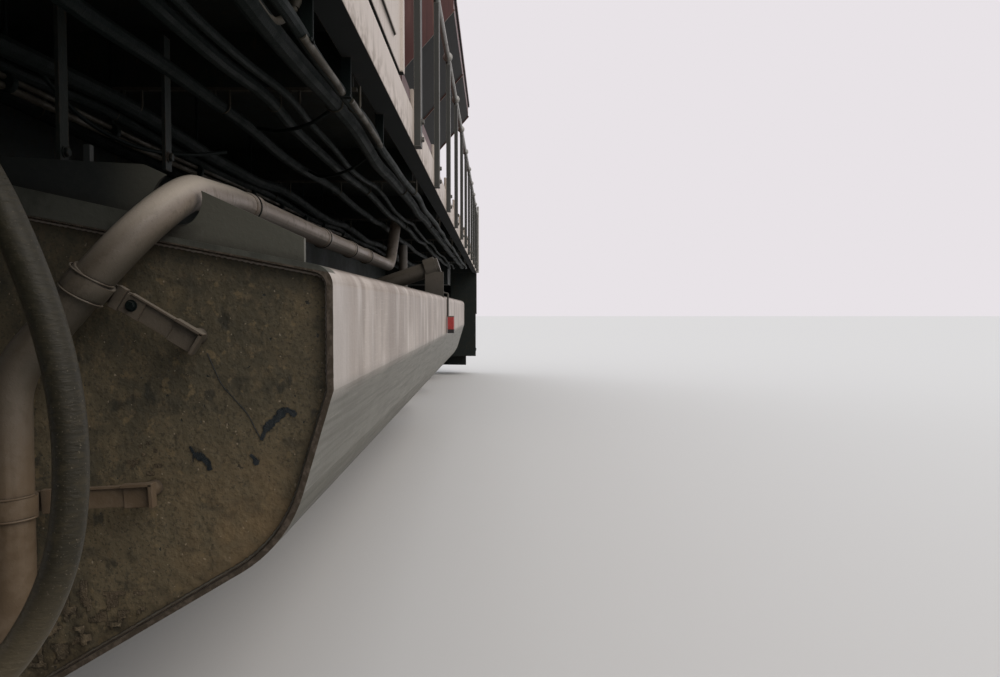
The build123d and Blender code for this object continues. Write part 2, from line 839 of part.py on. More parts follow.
def traction_motors(centre, outward):
    """Three axle-hung motors, one block each, with the nose that hangs from a transom."""
    made = []
    for a, way in ((outward * axle_pitch, -outward), (0, outward), (-outward * axle_pitch, outward)):
        x = centre + a
        case = Pos(x + way * motor_reach, 0, motor_z) * Rot(90, 0, 0) * Cylinder(motor_dia / 2, motor_len)
        nose_x = (x + way * (motor_reach + 140), x + way * (motor_reach + 430))
        nose = box(*nose_x, -160, 160, motor_z + 110, frame_beam_low - 10)
        cut = Pos(x, 0, axle_z) * Rot(90, 0, 0) * Cylinder(axle_dia / 2 + 6, motor_len + 60)
        made.append(fused([case, nose]) - cut)
    return made


def brakes(centre):
    """Brake shoes on their hangers, and the brake cylinders on the side frames."""
    made = []
    shoe_r = wheel_r + shoe_gap
    shoe_mid = (shoe_y_in + shoe_y_out) / 2
    for a, way in ((-axle_pitch, 1), (0, 1), (axle_pitch, -1)):
        x = centre + a
        shoe_low, shoe_top = pedestal_low + 50, pedestal_low + 290
        shoe = box(x + way * 470, x + way * (shoe_r + 55), shoe_y_in, shoe_y_out, shoe_low, shoe_top)
        shoe -= Pos(x, shoe_mid, axle_z) * Rot(90, 0, 0) * Cylinder(shoe_r, 120)
        near, far = x + way * (shoe_r + 10), x + way * (shoe_r + 55)
        span, top = (shoe_mid - 25, shoe_mid + 25), frame_beam_low + 40
        hanger = box(near, far, *span, shoe_top - 50, top)
        arm = box(near, x + way * transom_in, *span, frame_beam_low, top)
        made += left_right(fused([shoe, hanger, arm]))
    for x in (centre - axle_pitch / 2, centre + axle_pitch / 2):
        pot = Pos(x, brake_pot_y, brake_pot_z) * Rot(0, 90, 0) * Cylinder(brake_pot_dia / 2, brake_pot_len)
        saddle = box(x - 90, x + 90, frame_y_out, brake_pot_y - 15, frame_beam_low + 30, frame_top - 20)
        push_rod = rod((x, brake_pot_y, brake_pot_z), (x + 300, brake_pot_y, brake_pot_z - 100), 34)
        made += left_right(fused([pot, saddle, push_rod]))
    return made


# Couplers

# The head's and the knuckle's outlines from above, as distances back from the coupler's face, and y
head_plan = [
    (530, -110),
    (430, -190),
    (90, -250),
    (40, -200),
    (180, -110),
    (220, 40),
    (190, 90),
    (190, 215),
    (430, 215),
    (530, 110),
]
knuckle_plan = [(200, 95), (200, 205), (80, 225), (0, 150), (0, -5), (50, -30), (85, 55), (140, 95)]
ear_plan = [(210, 100), (210, 205), (120, 190), (120, 120)]
ear_thick = 25


def coupler(s):
    """A knuckle coupler on its shank, bored for the draft pin."""
    def from_plan(plan, z0, z1):
        return prism_z([(s * (coupler_face - back), s * y) for back, y in plan], z0, z1)

    z0, z1 = coupler_z - coupler_half_h, coupler_z + coupler_half_h
    pivot = s * coupler_pivot
    shank_z = (coupler_z - shank_half - 4, coupler_z + shank_half + 4)
    shank = box(pivot, s * (coupler_face - 450), -shank_half, shank_half, *shank_z)
    eye = drum(pivot, 0, coupler_z - 95, coupler_z + 95, 220)
    pieces = [shank, eye, from_plan(head_plan, z0, z1)]
    pieces.append(from_plan(knuckle_plan, z0 + ear_thick, z1 - ear_thick))
    pieces.append(drum(s * (coupler_face - 165), s * 150, coupler_z - 160, coupler_z + 160, 52))
    pieces += [from_plan(ear_plan, a, a + ear_thick) for a in (z0, z1 - ear_thick)]
    bore = drum(pivot, 0, coupler_z - 200, coupler_z + 200, coupler_pin_dia + 2 * coupler_pin_clearance)
    return fused(pieces) - bore


# Cab and nose

cab_arch = [(0, cab_roof_z), (900, cab_roof_z - 30), (1350, cab_roof_z - 170), (cab_half_w, cab_eaves_z)]
cab_arch_in = [(0, cab_roof_z - wall), (880, cab_roof_z - wall - 30), (1300, cab_roof_z - wall - 160)]
cab_arch_in.append((cab_half_w - wall, cab_eaves_z))
side_windows = [(cab_rear + 400, cab_rear + 1250), (cab_rear + 1500, cab_rear + 2350)]
screen_y = (130, 1260)
rear_door = (-1450, -960, cab_floor_z + 5, cab_floor_z + 1850)
rear_door_thick = 45
rear_pane = (100, window_low, window_top - 60)


def cab_section(low):
    """The cab's inside section as (y, z), from low up to the roof lining."""
    return both_halves(cab_arch_in + [(cab_half_w - wall, low), (0, low)])


def cab_floor():
    """The raised floor between the cab's walls."""
    inner = cab_half_w - wall
    return box(cab_rear + wall, cab_front - wall, -inner, inner, platform_z, cab_floor_z)


def cab_side(s):
    """A side wall with its two window openings."""
    inner = cab_half_w - wall
    side = box(cab_rear, cab_front, s * inner, s * cab_half_w, cab_low, cab_eaves_z)
    for x0, x1 in side_windows:
        side -= box(x0, x1, s * (inner - 1), s * (cab_half_w + 1), window_low, window_top)
    return side


def cab_front_wall():
    """The wall with the two windscreens and the way down into the nose."""
    front = prism_x(cab_section(cab_low), cab_front - wall, cab_front)
    through = (cab_front - wall - 1, cab_front + 1)
    for s in (-1, 1):
        front -= box(*through, s * screen_y[0], s * screen_y[1], screen_low, screen_top)
    return front - box(*through, -330, 330, cab_floor_z, screen_low - 260)


def cab_rear_wall():
    """The rear wall, open for the walkway door on the right."""
    y0, y1, z0, z1 = rear_door
    rear = prism_x(cab_section(cab_low), cab_rear, cab_rear + wall)
    rear -= box(cab_rear - 1, cab_rear + wall + 1, y0, y1, z0, z1)
    return fused([rear, *rear_door_hinges()[1]])


def cab_roof():
    """The roof shell, bent to the arch, with a visor over the windscreens and an air cooler on top."""
    shell = both_halves(cab_arch + [(cab_half_w - wall, cab_eaves_z)])
    outer = prism_x(shell, cab_rear, cab_front + cab_visor)
    eaves = [(cab_half_w - wall, cab_eaves_z - 5), (0, cab_eaves_z - 5)]
    inner = prism_x(both_halves(cab_arch_in + eaves), cab_rear - 1, cab_front + cab_visor + 1)
    cooler = box(cab_rear + 600, cab_rear + 1700, -550, 550, cab_roof_z - 40, cab_roof_z + cooler_height)
    return fused([outer - inner, fillet(cooler.edges().filter_by(Axis.Z), 80)])


over_nose = nose_top_z + 130
nose_brow = [(nose_shoulder_x - 150, over_nose), (nose_shoulder_x + 10, nose_top_z - nose_drop)]
nose_brow += [(nose_front, nose_brow_z), (nose_front + 150, nose_brow_z), (nose_front + 150, over_nose)]
nose_door = (120, 720, nose_floor_z + 5, nose_brow_z - 60)


def nose_hinges():
    """The nose door's hinges, down its left edge."""
    heights = (nose_floor_z + 216, nose_floor_z + 916)
    return hinges((nose_front, nose_door[1] - door_gap / 2), (0, -1), (1, 0), heights)


def nose():
    """The hollow nose: walls bent round the plan, a sloping top and the doorway in its front."""
    def plan(inset):
        half = [
            (cab_front, nose_root_half - inset),
            (nose_shoulder_x - inset * 0.6, nose_shoulder_half - inset),
            (nose_front - inset, nose_front_half - inset * 0.4),
        ]
        return half + [(x, -y) for x, y in reversed(half)]

    outer = prism_z(plan(0), platform_z, nose_top_z)
    inner = prism_z(plan(wall), nose_floor_z, nose_top_z + 1)
    slope_z = nose_top_z - nose_drop
    back, far = cab_front - 1, half_w + 40
    beyond = nose_front + 50
    lining = [(back, nose_top_z - wall), (nose_shoulder_x - 10, slope_z - wall), (beyond, nose_brow_z - 80)]
    hollow_top = prism_y(lining + [(beyond, over_nose), (back, over_nose)], -far, far)
    bend = nose_shoulder_x + 10
    slope = prism_y([(back, nose_top_z), (bend, slope_z), (bend, over_nose), (back, over_nose)], -far, far)
    brow = prism_y(nose_brow, -far, far)
    y0, y1, z0, z1 = nose_door
    shell = outer - slope - brow - (inner - hollow_top)
    shell -= box(nose_front - 150, beyond, y0, y1, z0, z1)
    return fused([shell, *nose_hinges()[1]])


def nose_door_leaf():
    """The door in the nose's front, with its handle and its halves of the hinges."""
    y0, y1, z0, z1 = nose_door
    leaf = box(nose_front - leaf_thick, nose_front, y0 + door_gap, y1 - door_gap, z0 + door_gap, z1 - door_gap)
    handle = box(nose_front, nose_front + handle_proud, y0 + 40, y0 + 70, z0 + 511, z0 + 661)
    return fused([leaf, handle, *nose_hinges()[0]])


def rear_door_hinges():
    """The walkway door's hinges, down its inboard edge."""
    heights = [cab_floor_z + rise for rise in (300, 1000, 1600)]
    return hinges((cab_rear, rear_door[1] - door_gap / 2), (0, -1), (-1, 0), heights)


def rear_door_leaf():
    """The walkway door, with its pane."""
    y0, y1, z0, z1 = rear_door
    side, low, top = rear_pane
    face = cab_rear + rear_door_thick
    leaf = box(cab_rear, face, y0 + door_gap, y1 - door_gap, z0 + door_gap, z1 - door_gap)
    leaf -= box(cab_rear - 1, face + 1, y0 + side, y1 - side, low, top)
    pane = box(cab_rear + 16, cab_rear + 16 + glass_thick, y0 + side, y1 - side, low, top)
    handle = box(cab_rear - handle_proud, cab_rear, y0 + 40, y0 + 70, z0 + 795, z0 + 935)
    return [fused([leaf, handle, *rear_door_hinges()[0]]), pane]


def cab_glass():
    """Every fixed pane: four side windows and two windscreens."""
    mid = cab_half_w - wall / 2
    panes = []
    for x0, x1 in side_windows:
        panes += left_right(box(x0, x1, mid - glass_thick / 2, mid + glass_thick / 2, window_low, window_top))
    x = cab_front - wall / 2
    panes += left_right(box(x - glass_thick / 2, x + glass_thick / 2, *screen_y, screen_low, screen_top))
    return panes


def crew_seats():
    """Two seats on pedestals."""
    x = cab_front - 1150

    def seat(y):
        base = drum(x, y, cab_floor_z, cab_floor_z + 400, 120)
        pan = box(x - 240, x + 240, y - 240, y + 240, cab_floor_z + 400, cab_floor_z + 500)
        back = box(x - 240, x - 150, y - 220, y + 220, cab_floor_z + 500, cab_floor_z + 1150)
        pan, back = fillet(pan.edges().filter_by(Axis.Z), 60), fillet(back.edges().filter_by(Axis.X), 60)
        return fused([base, pan, back])

    return [seat(-950), seat(950)]


def control_desk():
    """The driver's desk under the right windscreen, with the helper's shelf on the left."""
    low, face = cab_floor_z, cab_front - wall
    driver = [(face - 590, low), (face, low), (face, low + 1300), (face - 290, low + 1300)]
    driver.append((face - 610, low + 950))
    helper = [(face - 340, low), (face, low), (face, low + 1150), (face - 390, low + 1000)]
    return [prism_y(driver, -1400, -500), prism_y(helper, 500, 1400)]


# Hoods, cabinet and engine

def side_panels(x0, x1, y, low, top):
    """Door-sized plates that stand proud of a hood side from x0 back to x1."""
    made = []
    count = int((x0 - x1) / panel_pitch)
    spare = (x0 - x1 - count * panel_pitch) / 2
    for n in range(count):
        a = x0 - spare - n * panel_pitch
        made.append((a - panel_pitch + 12, a - 12))
    return [box(a, b, y, y + panel_proud * (1 if y > 0 else -1), low, top) for a, b in made]


def equipment_cabinet():
    """The full-width cabinet on the left behind the cab, with its row of doors."""
    rear, front = cabinet_rear, cab_rear - door_gap
    face = half_w - panel_proud
    body = box(rear, front, hood_half_w, face, cab_low, cabinet_top_z)
    body = chamfer(body.edges().filter_by(Axis.X).sort_by(Axis.Z)[-2:].sort_by(Axis.Y)[-1:], 90)
    plinth = box(rear, front, hood_half_w, half_w - 80, platform_z, cab_low)
    doors = side_panels(front, rear, face, cab_low + 60, cabinet_top_z - 160)
    rim = [box(rear, rear + 40, face, half_w, cab_low, cabinet_top_z - 100)]
    return fused([body, plinth, *doors, *rim])


def hood_arch(half, top, low):
    """A hood's outside section as (y, z), with cut corners at its roof."""
    roof = [(0, top), (half - 330, top - 25), (half - 110, top - 110), (half, top - 260)]
    return both_halves(roof + [(half, low), (0, low)])


def fans(body, xs, dia, roof_z):
    """A hood with fan wells sunk in its roof: a ring round each, and a hub on a cross of bars inside."""
    for x in xs:
        body = fused([body, drum(x, 0, roof_z - fan_well, roof_z + fan_proud, dia + 2 * fan_ring)])
        body -= drum(x, 0, roof_z - fan_well, roof_z + fan_proud + 1, dia)
        reach = dia / 2 + 10
        bar_z = (roof_z - fan_well + 20, roof_z - fan_well + 80)
        cross = [box(x - reach, x + reach, -25, 25, *bar_z), box(x - 25, x + 25, -reach, reach, *bar_z)]
        body = fused([body, *cross, drum(x, 0, roof_z - fan_well, roof_z - 20, hub_dia)])
    return body


def blower_hood():
    """The hood between the cab and the engine, with the two dynamic brake fans on its roof."""
    body = prism_x(hood_arch(hood_half_w, blower_roof_z, platform_z), cabinet_rear, cab_rear - door_gap)
    body = fans(body, (cabinet_rear + 800, cabinet_rear + 1950), brake_fan_dia, blower_roof_z - 20)
    doors = side_panels(cab_rear - 200, cabinet_rear, -hood_half_w, hood_panel_low, hood_panel_top - 200)
    return fused([body, *doors])


engine_bay = (cabinet_rear, rad_front + 30)
door_mid_x = (cabinet_rear + rad_front - 55) / 2
door_pair_x = (door_mid_x - 595, door_mid_x + 595)


def hood_hinges(s, leaf):
    """Hinges of the leaf at the rear (-1) or front (1) edge of the door pair on side s."""
    x = door_pair_x[0] + door_gap / 2 if leaf < 0 else door_pair_x[1] - door_gap / 2
    face = s * (hood_half_w + panel_proud)
    heights = [hood_panel_low + rise for rise in (190, 770, 1360)]
    return hinges((x, face), (-leaf, 0), (0, s), heights, panel_proud)


def engine_hood():
    """The hollow engine hood: two sides and a roof, open where its doors hang."""
    front, rear = engine_bay
    outer = prism_x(hood_arch(hood_half_w, hood_roof_z, platform_z), rear, front)
    inner = prism_x(hood_arch(hood_half_w - wall, hood_roof_z - wall, platform_z - 1), rear - 1, front + 1)
    shell = outer - inner
    x0, x1 = door_pair_x
    proud = []
    for s in (-1, 1):
        through = (s * (hood_half_w - wall - 1), s * (hood_half_w + 1))
        shell -= box(x0, x1, *through, hood_panel_low, hood_panel_top)
        for a, b in ((front, x1 + 30), (x0 - 30, rear)):
            proud += side_panels(a, b, s * hood_half_w, hood_panel_low, hood_panel_top)
        for leaf in (-1, 1):
            proud += hood_hinges(s, leaf)[1]
    hatch = box(rear + 900, front - 900, -420, 420, hood_roof_z - 30, hood_roof_z + 40)
    return fused([shell, *proud, hatch])


def hood_door(s, leaf):
    """One leaf of an engine-room door pair. leaf is -1 for the rear one and 1 for the front one."""
    x0, x1 = door_pair_x
    mid = (x0 + x1) / 2
    a, b = (x0 + door_gap, mid - door_gap / 2) if leaf < 0 else (mid + door_gap / 2, x1 - door_gap)
    out = hood_half_w + panel_proud
    panel = box(a, b, s * (out - leaf_thick), s * out, hood_panel_low + door_gap, hood_panel_top - door_gap)
    stile = mid + leaf * 60
    low = hood_panel_low + 640
    handle = box(stile - 12, stile + 12, s * out, s * (out + handle_proud), low, low + 160)
    return fused([panel, handle, *hood_hinges(s, leaf)[0]])


def engine_block():
    """The engine and alternator, closed in by the hood, as one plain block."""
    return box(rad_front + 380, cabinet_rear - 325, -520, 520, platform_z, hood_panel_top)


def radiator_hood():
    """The radiator hood: narrow below, with wings that flare out to the full width under the roof."""
    half = [
        (0, rad_roof_z),
        (520, rad_roof_z - 20),
        (wing_half_w - 146, rad_roof_z - 120),
        (wing_half_w, wing_top_z),
        (wing_half_w, wing_low_z),
        (rad_half_w, wing_root_z),
        (rad_half_w, platform_z),
        (0, platform_z),
    ]
    pieces = [prism_x(both_halves(half), rad_rear, rad_front)]
    slope = (wing_low_z - wing_root_z) / (wing_half_w - rad_half_w)
    for x in (rad_front - 12, (rad_front + rad_rear) / 2, rad_rear):
        seam = [(rad_half_w, wing_root_z), (wing_half_w, wing_low_z)]
        seam += [(wing_half_w + 14, wing_low_z - 14), (rad_half_w + 12, wing_root_z - 14 * slope)]
        pieces += [prism_x([(s * y, z) for y, z in seam], x, x + 12) for s in (-1, 1)]
    lip = [(wing_half_w - 4, wing_top_z - 40), (wing_half_w + 22, wing_top_z - 40)]
    lip += [(wing_half_w + 22, wing_top_z + 14), (wing_half_w - 4, wing_top_z + 14)]
    pieces += [prism_x([(s * y, z) for y, z in lip], rad_rear, rad_front) for s in (-1, 1)]
    for s in (-1, 1):
        pieces += side_panels(rad_front, rad_rear, s * rad_half_w, hood_panel_low, hood_panel_top - 60)
    pitch = (rad_front - rad_rear) / 3
    return fans(fused(pieces), [rad_rear + pitch * (n + 0.5) for n in range(3)], fan_dia, rad_roof_z - 30)


def exhaust_stack():
    """The square exhaust stack on the engine hood's roof."""
    base = hood_roof_z + 40
    x0, x1 = rad_front + 1080, rad_front + 1780
    duct = box(x0, x1, -190, 190, base, base + 300)
    return duct - box(x0 + 40, x1 - 40, -150, 150, base + 40, base + 301)


def horn():
    """Three trumpets on one foot, on the hood roof behind the cab."""
    x = cab_rear - 720
    foot = box(x - 80, x + 80, -200, 200, blower_roof_z - 20, blower_roof_z + 60)
    pieces = [foot]
    for n, y in enumerate((-130, 0, 130)):
        length = 420 - 60 * n
        z = blower_roof_z + 110
        bell = Pos(x + length / 2, y, z) * Rot(0, 90, 0) * Cone(20, 62, length)
        pieces += [bell, box(x - 30, x + 30, y - 20, y + 20, blower_roof_z + 50, z + 10)]
    hood_roof = prism_x(hood_arch(hood_half_w, blower_roof_z, platform_z), cabinet_rear, cab_rear - door_gap)
    return fused(pieces) - hood_roof


lamp_dia = 176
lamp_box_half = 230
lamp_box_height = 200
lamp_case = 60
ditch_lamp_dia = 220
ditch_lamp_y = 900
number_board_y = (300, 760)


def lamps():
    """The headlight pairs at both ends, the number boards beside the front one and the ditch lights."""
    made = []
    front_x, rear_x = cab_front + cab_visor, rad_rear - lamp_case
    for x, s, low in ((front_x, 1, cab_roof_z - 250), (rear_x, -1, rad_roof_z - 450)):
        housing = box(x, x + lamp_case, -lamp_box_half, lamp_box_half, low, low + lamp_box_height)
        face = x + lamp_case if s > 0 else x
        for y in (-110, 110):
            rim = Pos(face + s * 12, y, low + lamp_box_height / 2) * Rot(0, 90, 0) * Cylinder(lamp_dia / 2, 24)
            housing = fused([housing, rim])
        made.append(housing)
    made += left_right(box(cab_front, cab_front + 70, *number_board_y, screen_top + 60, cab_roof_z - 110))
    x = half_len - 70
    case = Pos(x, ditch_lamp_y, platform_z + 190) * Rot(0, 90, 0) * Cylinder(ditch_lamp_dia / 2, 120)
    stem = box(x - 40, x + 40, ditch_lamp_y - 30, ditch_lamp_y + 30, platform_z, platform_z + 100)
    return made + left_right(fused([case, stem]))


# Handrails

def post(x, s):
    """One rail post on the sill's face, with the ball fitting that the rail runs through."""
    flat = box(x - post_len / 2, x + post_len / 2, s * half_w, s * (half_w + post_thick), sill_low, post_top)
    neck = drum(x, s * rail_y, post_top - 20, rail_z, post_thick - 1)
    return [flat, neck, Pos(x, s * rail_y, rail_z) * Sphere(post_ball_dia / 2)]


def side_rail(s):
    """The walkway rail on one side."""
    xs = post_places(s)
    pieces = [piece for x in xs for piece in post(x, s)]
    pieces.append(rod((xs[0] + 60, s * rail_y, rail_z), (xs[-1] - 260, s * rail_y, rail_z), rail_dia))
    return fused(pieces)


def end_rails():
    """The rails across both ends, and the tall grips beside the four stairs."""
    made = []
    thin = rail_dia - 4
    for s in (-1, 1):
        x = s * (half_len - 40)
        grip_x, grip_y = s * (step_x - 60), half_w + 20
        for y in (-1, 1):
            pieces = [rod((x, y * 330, z), (x, y * 1060, z), rail_dia) for z in (end_rail_z, end_rail_low_z)]
            pieces += [rod((x, y * at, platform_z), (x, y * at, end_rail_z), thin) for at in (330, 700, 1060)]
            made.append(fused(pieces))
            grip = rod((grip_x, y * grip_y, sill_low), (grip_x, y * grip_y, grip_top), rail_dia)
            foot = box(grip_x - 30, grip_x + 30, y * half_w, y * grip_y, sill_low, sill_low + 90)
            made.append(fused([grip, foot]))
    return made


os.makedirs("parts", exist_ok=True)

write("deck", deck())
write("centre_sills", centre_sills())
write("bolsters", bolsters())
write("draft_boxes", draft_boxes())
write("cross_bearers", cross_bearers())
write("side_sills", side_sills())
write("front_pilot", pilot(1))
write("rear_pilot", pilot(-1))
write("fuel_tank", fuel_tank())
write("tank_pipe", tank_pipe())
write("drain_hose", drain_hose())
write("hose_fittings", hose_fittings())
write("underdeck_cables", underdeck_cables())
write("fuel_fillers", fuel_fillers())
write("air_reservoirs", air_reservoirs())
for end, s in (("front", 1), ("rear", -1)):
    centre = s * bogie_centre
    write(f"{end}_bogie_frame", bogie_frame(centre))
    write(f"{end}_axle_boxes", axle_boxes(centre))
    write(f"{end}_springs", springs(centre))
    write(f"{end}_motors", traction_motors(centre, s))
    write(f"{end}_brakes", brakes(centre))
    write(f"{end}_coupler", coupler(s))
    for n, offset in enumerate((-axle_pitch, 0, axle_pitch)):
        write(f"{end}_wheelset_{n + 1}", wheelset(centre + offset))
write("cab_floor", cab_floor())
write("cab_left_wall", cab_side(1))
write("cab_right_wall", cab_side(-1))
write("cab_front_wall", cab_front_wall())
write("cab_rear_wall", cab_rear_wall())
write("cab_roof", cab_roof())
write("cab_glass", cab_glass())
write("crew_seats", crew_seats())
write("control_desk", control_desk())
write("nose", nose())
write("nose_door", nose_door_leaf())
write("cab_rear_door", rear_door_leaf())
write("equipment_cabinet", equipment_cabinet())
write("blower_hood", blower_hood())
write("engine_hood", engine_hood())
write("engine_block", engine_block())
write("radiator_hood", radiator_hood())
write("exhaust_stack", exhaust_stack())
write("horn", horn())
write("lamps", lamps())
for side, s in (("left", 1), ("right", -1)):
    for place, leaf in (("rear", -1), ("front", 1)):
        write(f"hood_door_{side}_{place}", hood_door(s, leaf))
    write(f"{side}_rail", side_rail(s))
write("end_rails", end_rails())
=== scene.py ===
"""The looks of a six-axle diesel-electric road locomotive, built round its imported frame. Metres."""

import json
import math
import random

import bmesh
import bpy
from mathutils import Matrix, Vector, noise


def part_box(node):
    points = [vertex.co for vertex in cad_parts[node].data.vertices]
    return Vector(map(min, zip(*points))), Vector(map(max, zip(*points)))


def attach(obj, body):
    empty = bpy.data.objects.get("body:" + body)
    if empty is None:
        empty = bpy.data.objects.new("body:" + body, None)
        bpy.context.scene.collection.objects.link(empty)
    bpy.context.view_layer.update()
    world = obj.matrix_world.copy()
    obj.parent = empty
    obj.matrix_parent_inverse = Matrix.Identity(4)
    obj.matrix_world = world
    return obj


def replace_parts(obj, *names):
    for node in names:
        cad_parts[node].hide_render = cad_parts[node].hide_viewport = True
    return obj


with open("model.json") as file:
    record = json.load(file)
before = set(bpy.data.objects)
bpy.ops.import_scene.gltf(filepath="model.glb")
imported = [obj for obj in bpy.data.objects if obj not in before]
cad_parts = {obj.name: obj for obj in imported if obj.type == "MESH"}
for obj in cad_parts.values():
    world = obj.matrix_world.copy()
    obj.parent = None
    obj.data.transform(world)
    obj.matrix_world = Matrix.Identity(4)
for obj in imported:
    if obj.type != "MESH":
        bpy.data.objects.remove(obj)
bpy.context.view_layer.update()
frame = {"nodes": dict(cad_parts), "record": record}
nodes = frame["nodes"]

# The photograph's frame, and the place and aim of its camera
photo_width = 1000
focal_px = 790
sensor_mm = 36
camera_at = (3.6, 1.86, 1.128)
camera_yaw = math.radians(0.39)
camera_pitch = math.radians(-2.14)

# Tank: its section's corners as (y, z), its ends, how steeply its top falls, and the plates on its front
tank_low, tank_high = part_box("fuel_tank")
tank_crown = (0.90, 1.330)
tank_shoulder = (1.56, 1.205)
tank_knuckle = (1.56, 0.976)
tank_bilge = (1.472, 0.684)
tank_floor = (0.70, 0.230)
shoulder_radius, bilge_radius = 0.040, 0.260
tank_wrapper = 0.012
tank_lip = 0.022
tank_front = tank_high.x
tank_rear = tank_low.x
plate_front = tank_front - tank_lip
crown_fall = 0.189
support_x, ledge_x = 2.06, 2.112

# Pipe ahead of the tank, its couplings, and its clamps as (centre, tilt in degrees, reach)
pipe_radius = 0.035
pipe_line_y, pipe_line_z = 1.18, 1.408
pipe_drop_x = 2.213
coupling_xs = (1.405, 0.470, -0.115, -0.580)
clamp_upper = ((pipe_drop_x, 1.150, 1.170), -31, 0.205)
clamp_lower = ((pipe_drop_x, 1.010, 0.779), 3, 0.232)
clamp_face_x = 2.178
clamp_band_radius = 0.041

# Hose ahead of the tank
hose_diameter = 0.040
hose_x = 2.68
hose_route = [
    (hose_x, 1.020, 1.600), (hose_x, 1.090, 1.500), (hose_x, 1.250, 1.340), (hose_x, 1.343, 1.130),
    (hose_x, 1.372, 0.955), (hose_x, 1.347, 0.790), (hose_x, 1.240, 0.650), (hose_x, 1.060, 0.530),
]

# Platform, its handrail posts, and the cables and conduits under it
sill_low, sill_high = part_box("side_sills")
half_width = sill_high.y
sill_bottom, platform_top = sill_low.z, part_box("deck")[1].z
rail_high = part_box("left_rail")[1]
first_post_x, post_pitch, post_count = 0.595, 0.985, 11
post_proud = 0.025
cable_front, cable_rear = 4.3, -6.68
hanger_pitch = 1.5
loose_runs = [
    # y, z at the hangers, radius, sag between them
    (0.66, 1.652, 0.021, 0.014), (0.860, 1.640, 0.015, 0.020), (0.915, 1.660, 0.021, 0.028),
    (1.148, 1.660, 0.017, 0.016), (1.282, 1.664, 0.016, 0.018), (1.338, 1.672, 0.010, 0.030),
    (1.440, 1.668, 0.021, 0.014), (1.492, 1.660, 0.013, 0.010),
]
conduit_pair = [(2.9, 0.86, 1.590), (2.0, 0.86, 1.593), (1.2, 0.862, 1.590), (0.35, 0.860, 1.600),
                (-0.6, 0.862, 1.604), (-1.8, 0.86, 1.630), (-3.2, 0.862, 1.676)]

# Bogies
bogie_places = {"front": 7.0, "rear": -7.0}
axle_places = (-2.01, 0.0, 2.01)
axle_z = 0.5615
spring_y, spring_offset = 1.05, 0.095
cover_y, frame_face_y = 1.215, 1.14

# Cab's side panes, front screens and seats
side_panes = ((5.30, 6.15), (6.40, 7.25))
pane_y, pane_low, pane_high = 1.552, 3.05, 3.76
screen_x, screen_low, screen_high = 7.652, 3.56, 4.23
seat_y = 0.95

# Hoods: how far out their sides are, the grilles on the radiator hood, and the louvres
radiator_side, panel_side, blower_side = 0.911, 0.899, 0.891
grille_front, grille_pitch, grille_length, grille_count = -4.80, 0.595, 0.46, 7
louvre_pitch = 0.052

# Fans: the wells' places along the locomotive, their diameter and the roof's height there
fan_wells = (((-8.455, -6.945, -5.435), 1.150, 4.55), ((1.725, 2.875), 0.82, 4.40))

# Ends: the uncoupling levers, the pilots' faces, and each pair of lamps as x, distance from the centre
# line, z, the way they face and radius
lever_x, pilot_x = 10.555, 10.50
lamp_pairs = ((7.822, 0.11, 4.47, 1, 0.074), (-9.292, 0.11, 4.23, -1, 0.074), (10.488, 0.9, 2.054, 1, 0.088))

both_sides = (1, -1)


# Camera, light and floor

def linear(code):
    """An sRGB hex colour as linear red, green, blue and alpha."""
    parts = [int(code[i:i + 2], 16) / 255 for i in (0, 2, 4)]
    return (*[p / 12.92 if p <= 0.04045 else ((p + 0.055) / 1.055) ** 2.4 for p in parts], 1.0)


def add(tree, kind, inputs=None, **settings):
    """Adds a shader node with its settings, and gives each named input its value or link."""
    made = tree.nodes.new(kind)
    for name, value in settings.items():
        setattr(made, name, value)
    for name, value in (inputs or {}).items():
        if isinstance(value, bpy.types.NodeSocket):
            tree.links.new(value, made.inputs[name])
        else:
            made.inputs[name].default_value = value
    return made


def cleared(owner):
    """The emptied node tree of a material or a world."""
    owner.use_nodes = True
    owner.node_tree.nodes.clear()
    return owner.node_tree


def placed(name, data):
    """A new object in the scene."""
    made = bpy.data.objects.new(name, data)
    bpy.context.scene.collection.objects.link(made)
    return made


def place_camera():
    """The photograph's viewpoint: beside the tank's front end, at chest height, looking back along it."""
    data = bpy.data.cameras.new("camera")
    data.sensor_width = sensor_mm
    data.lens = focal_px * sensor_mm / photo_width
    data.clip_start, data.clip_end = 0.05, 500
    camera = placed("camera", data)
    flat = math.cos(camera_pitch)
    ahead = Vector((-math.cos(camera_yaw) * flat, math.sin(camera_yaw) * flat, math.sin(camera_pitch)))
    camera.location = camera_at
    camera.rotation_euler = ahead.to_track_quat("-Z", "Y").to_euler()
    bpy.context.scene.camera = camera


def seen_directly(tree):
    """1 for what the camera sees, straight or in gloss or glass, and 0 for light on its way between surfaces."""
    rays = add(tree, "ShaderNodeLightPath").outputs
    seen = rays["Is Camera Ray"]
    for other in ("Is Glossy Ray", "Is Transmission Ray"):
        seen = add(tree, "ShaderNodeMath", {0: seen, 1: rays[other]}, operation="MAXIMUM").outputs[0]
    return seen


def set_sky():
    """An overcast sky: pale and even to the eye, and a soft light on the locomotive."""
    world = bpy.data.worlds.new("overcast")
    bpy.context.scene.world = world
    tree = cleared(world)
    shown = add(tree, "ShaderNodeBackground", {"Color": linear("E8E3E7"), "Strength": 1.0})
    cast = add(tree, "ShaderNodeBackground", {"Color": linear("F2F5FA"), "Strength": 0.78})
    both = add(tree, "ShaderNodeMixShader", {0: seen_directly(tree), 1: cast.outputs[0], 2: shown.outputs[0]})
    add(tree, "ShaderNodeOutputWorld", {"Surface": both.outputs[0]})


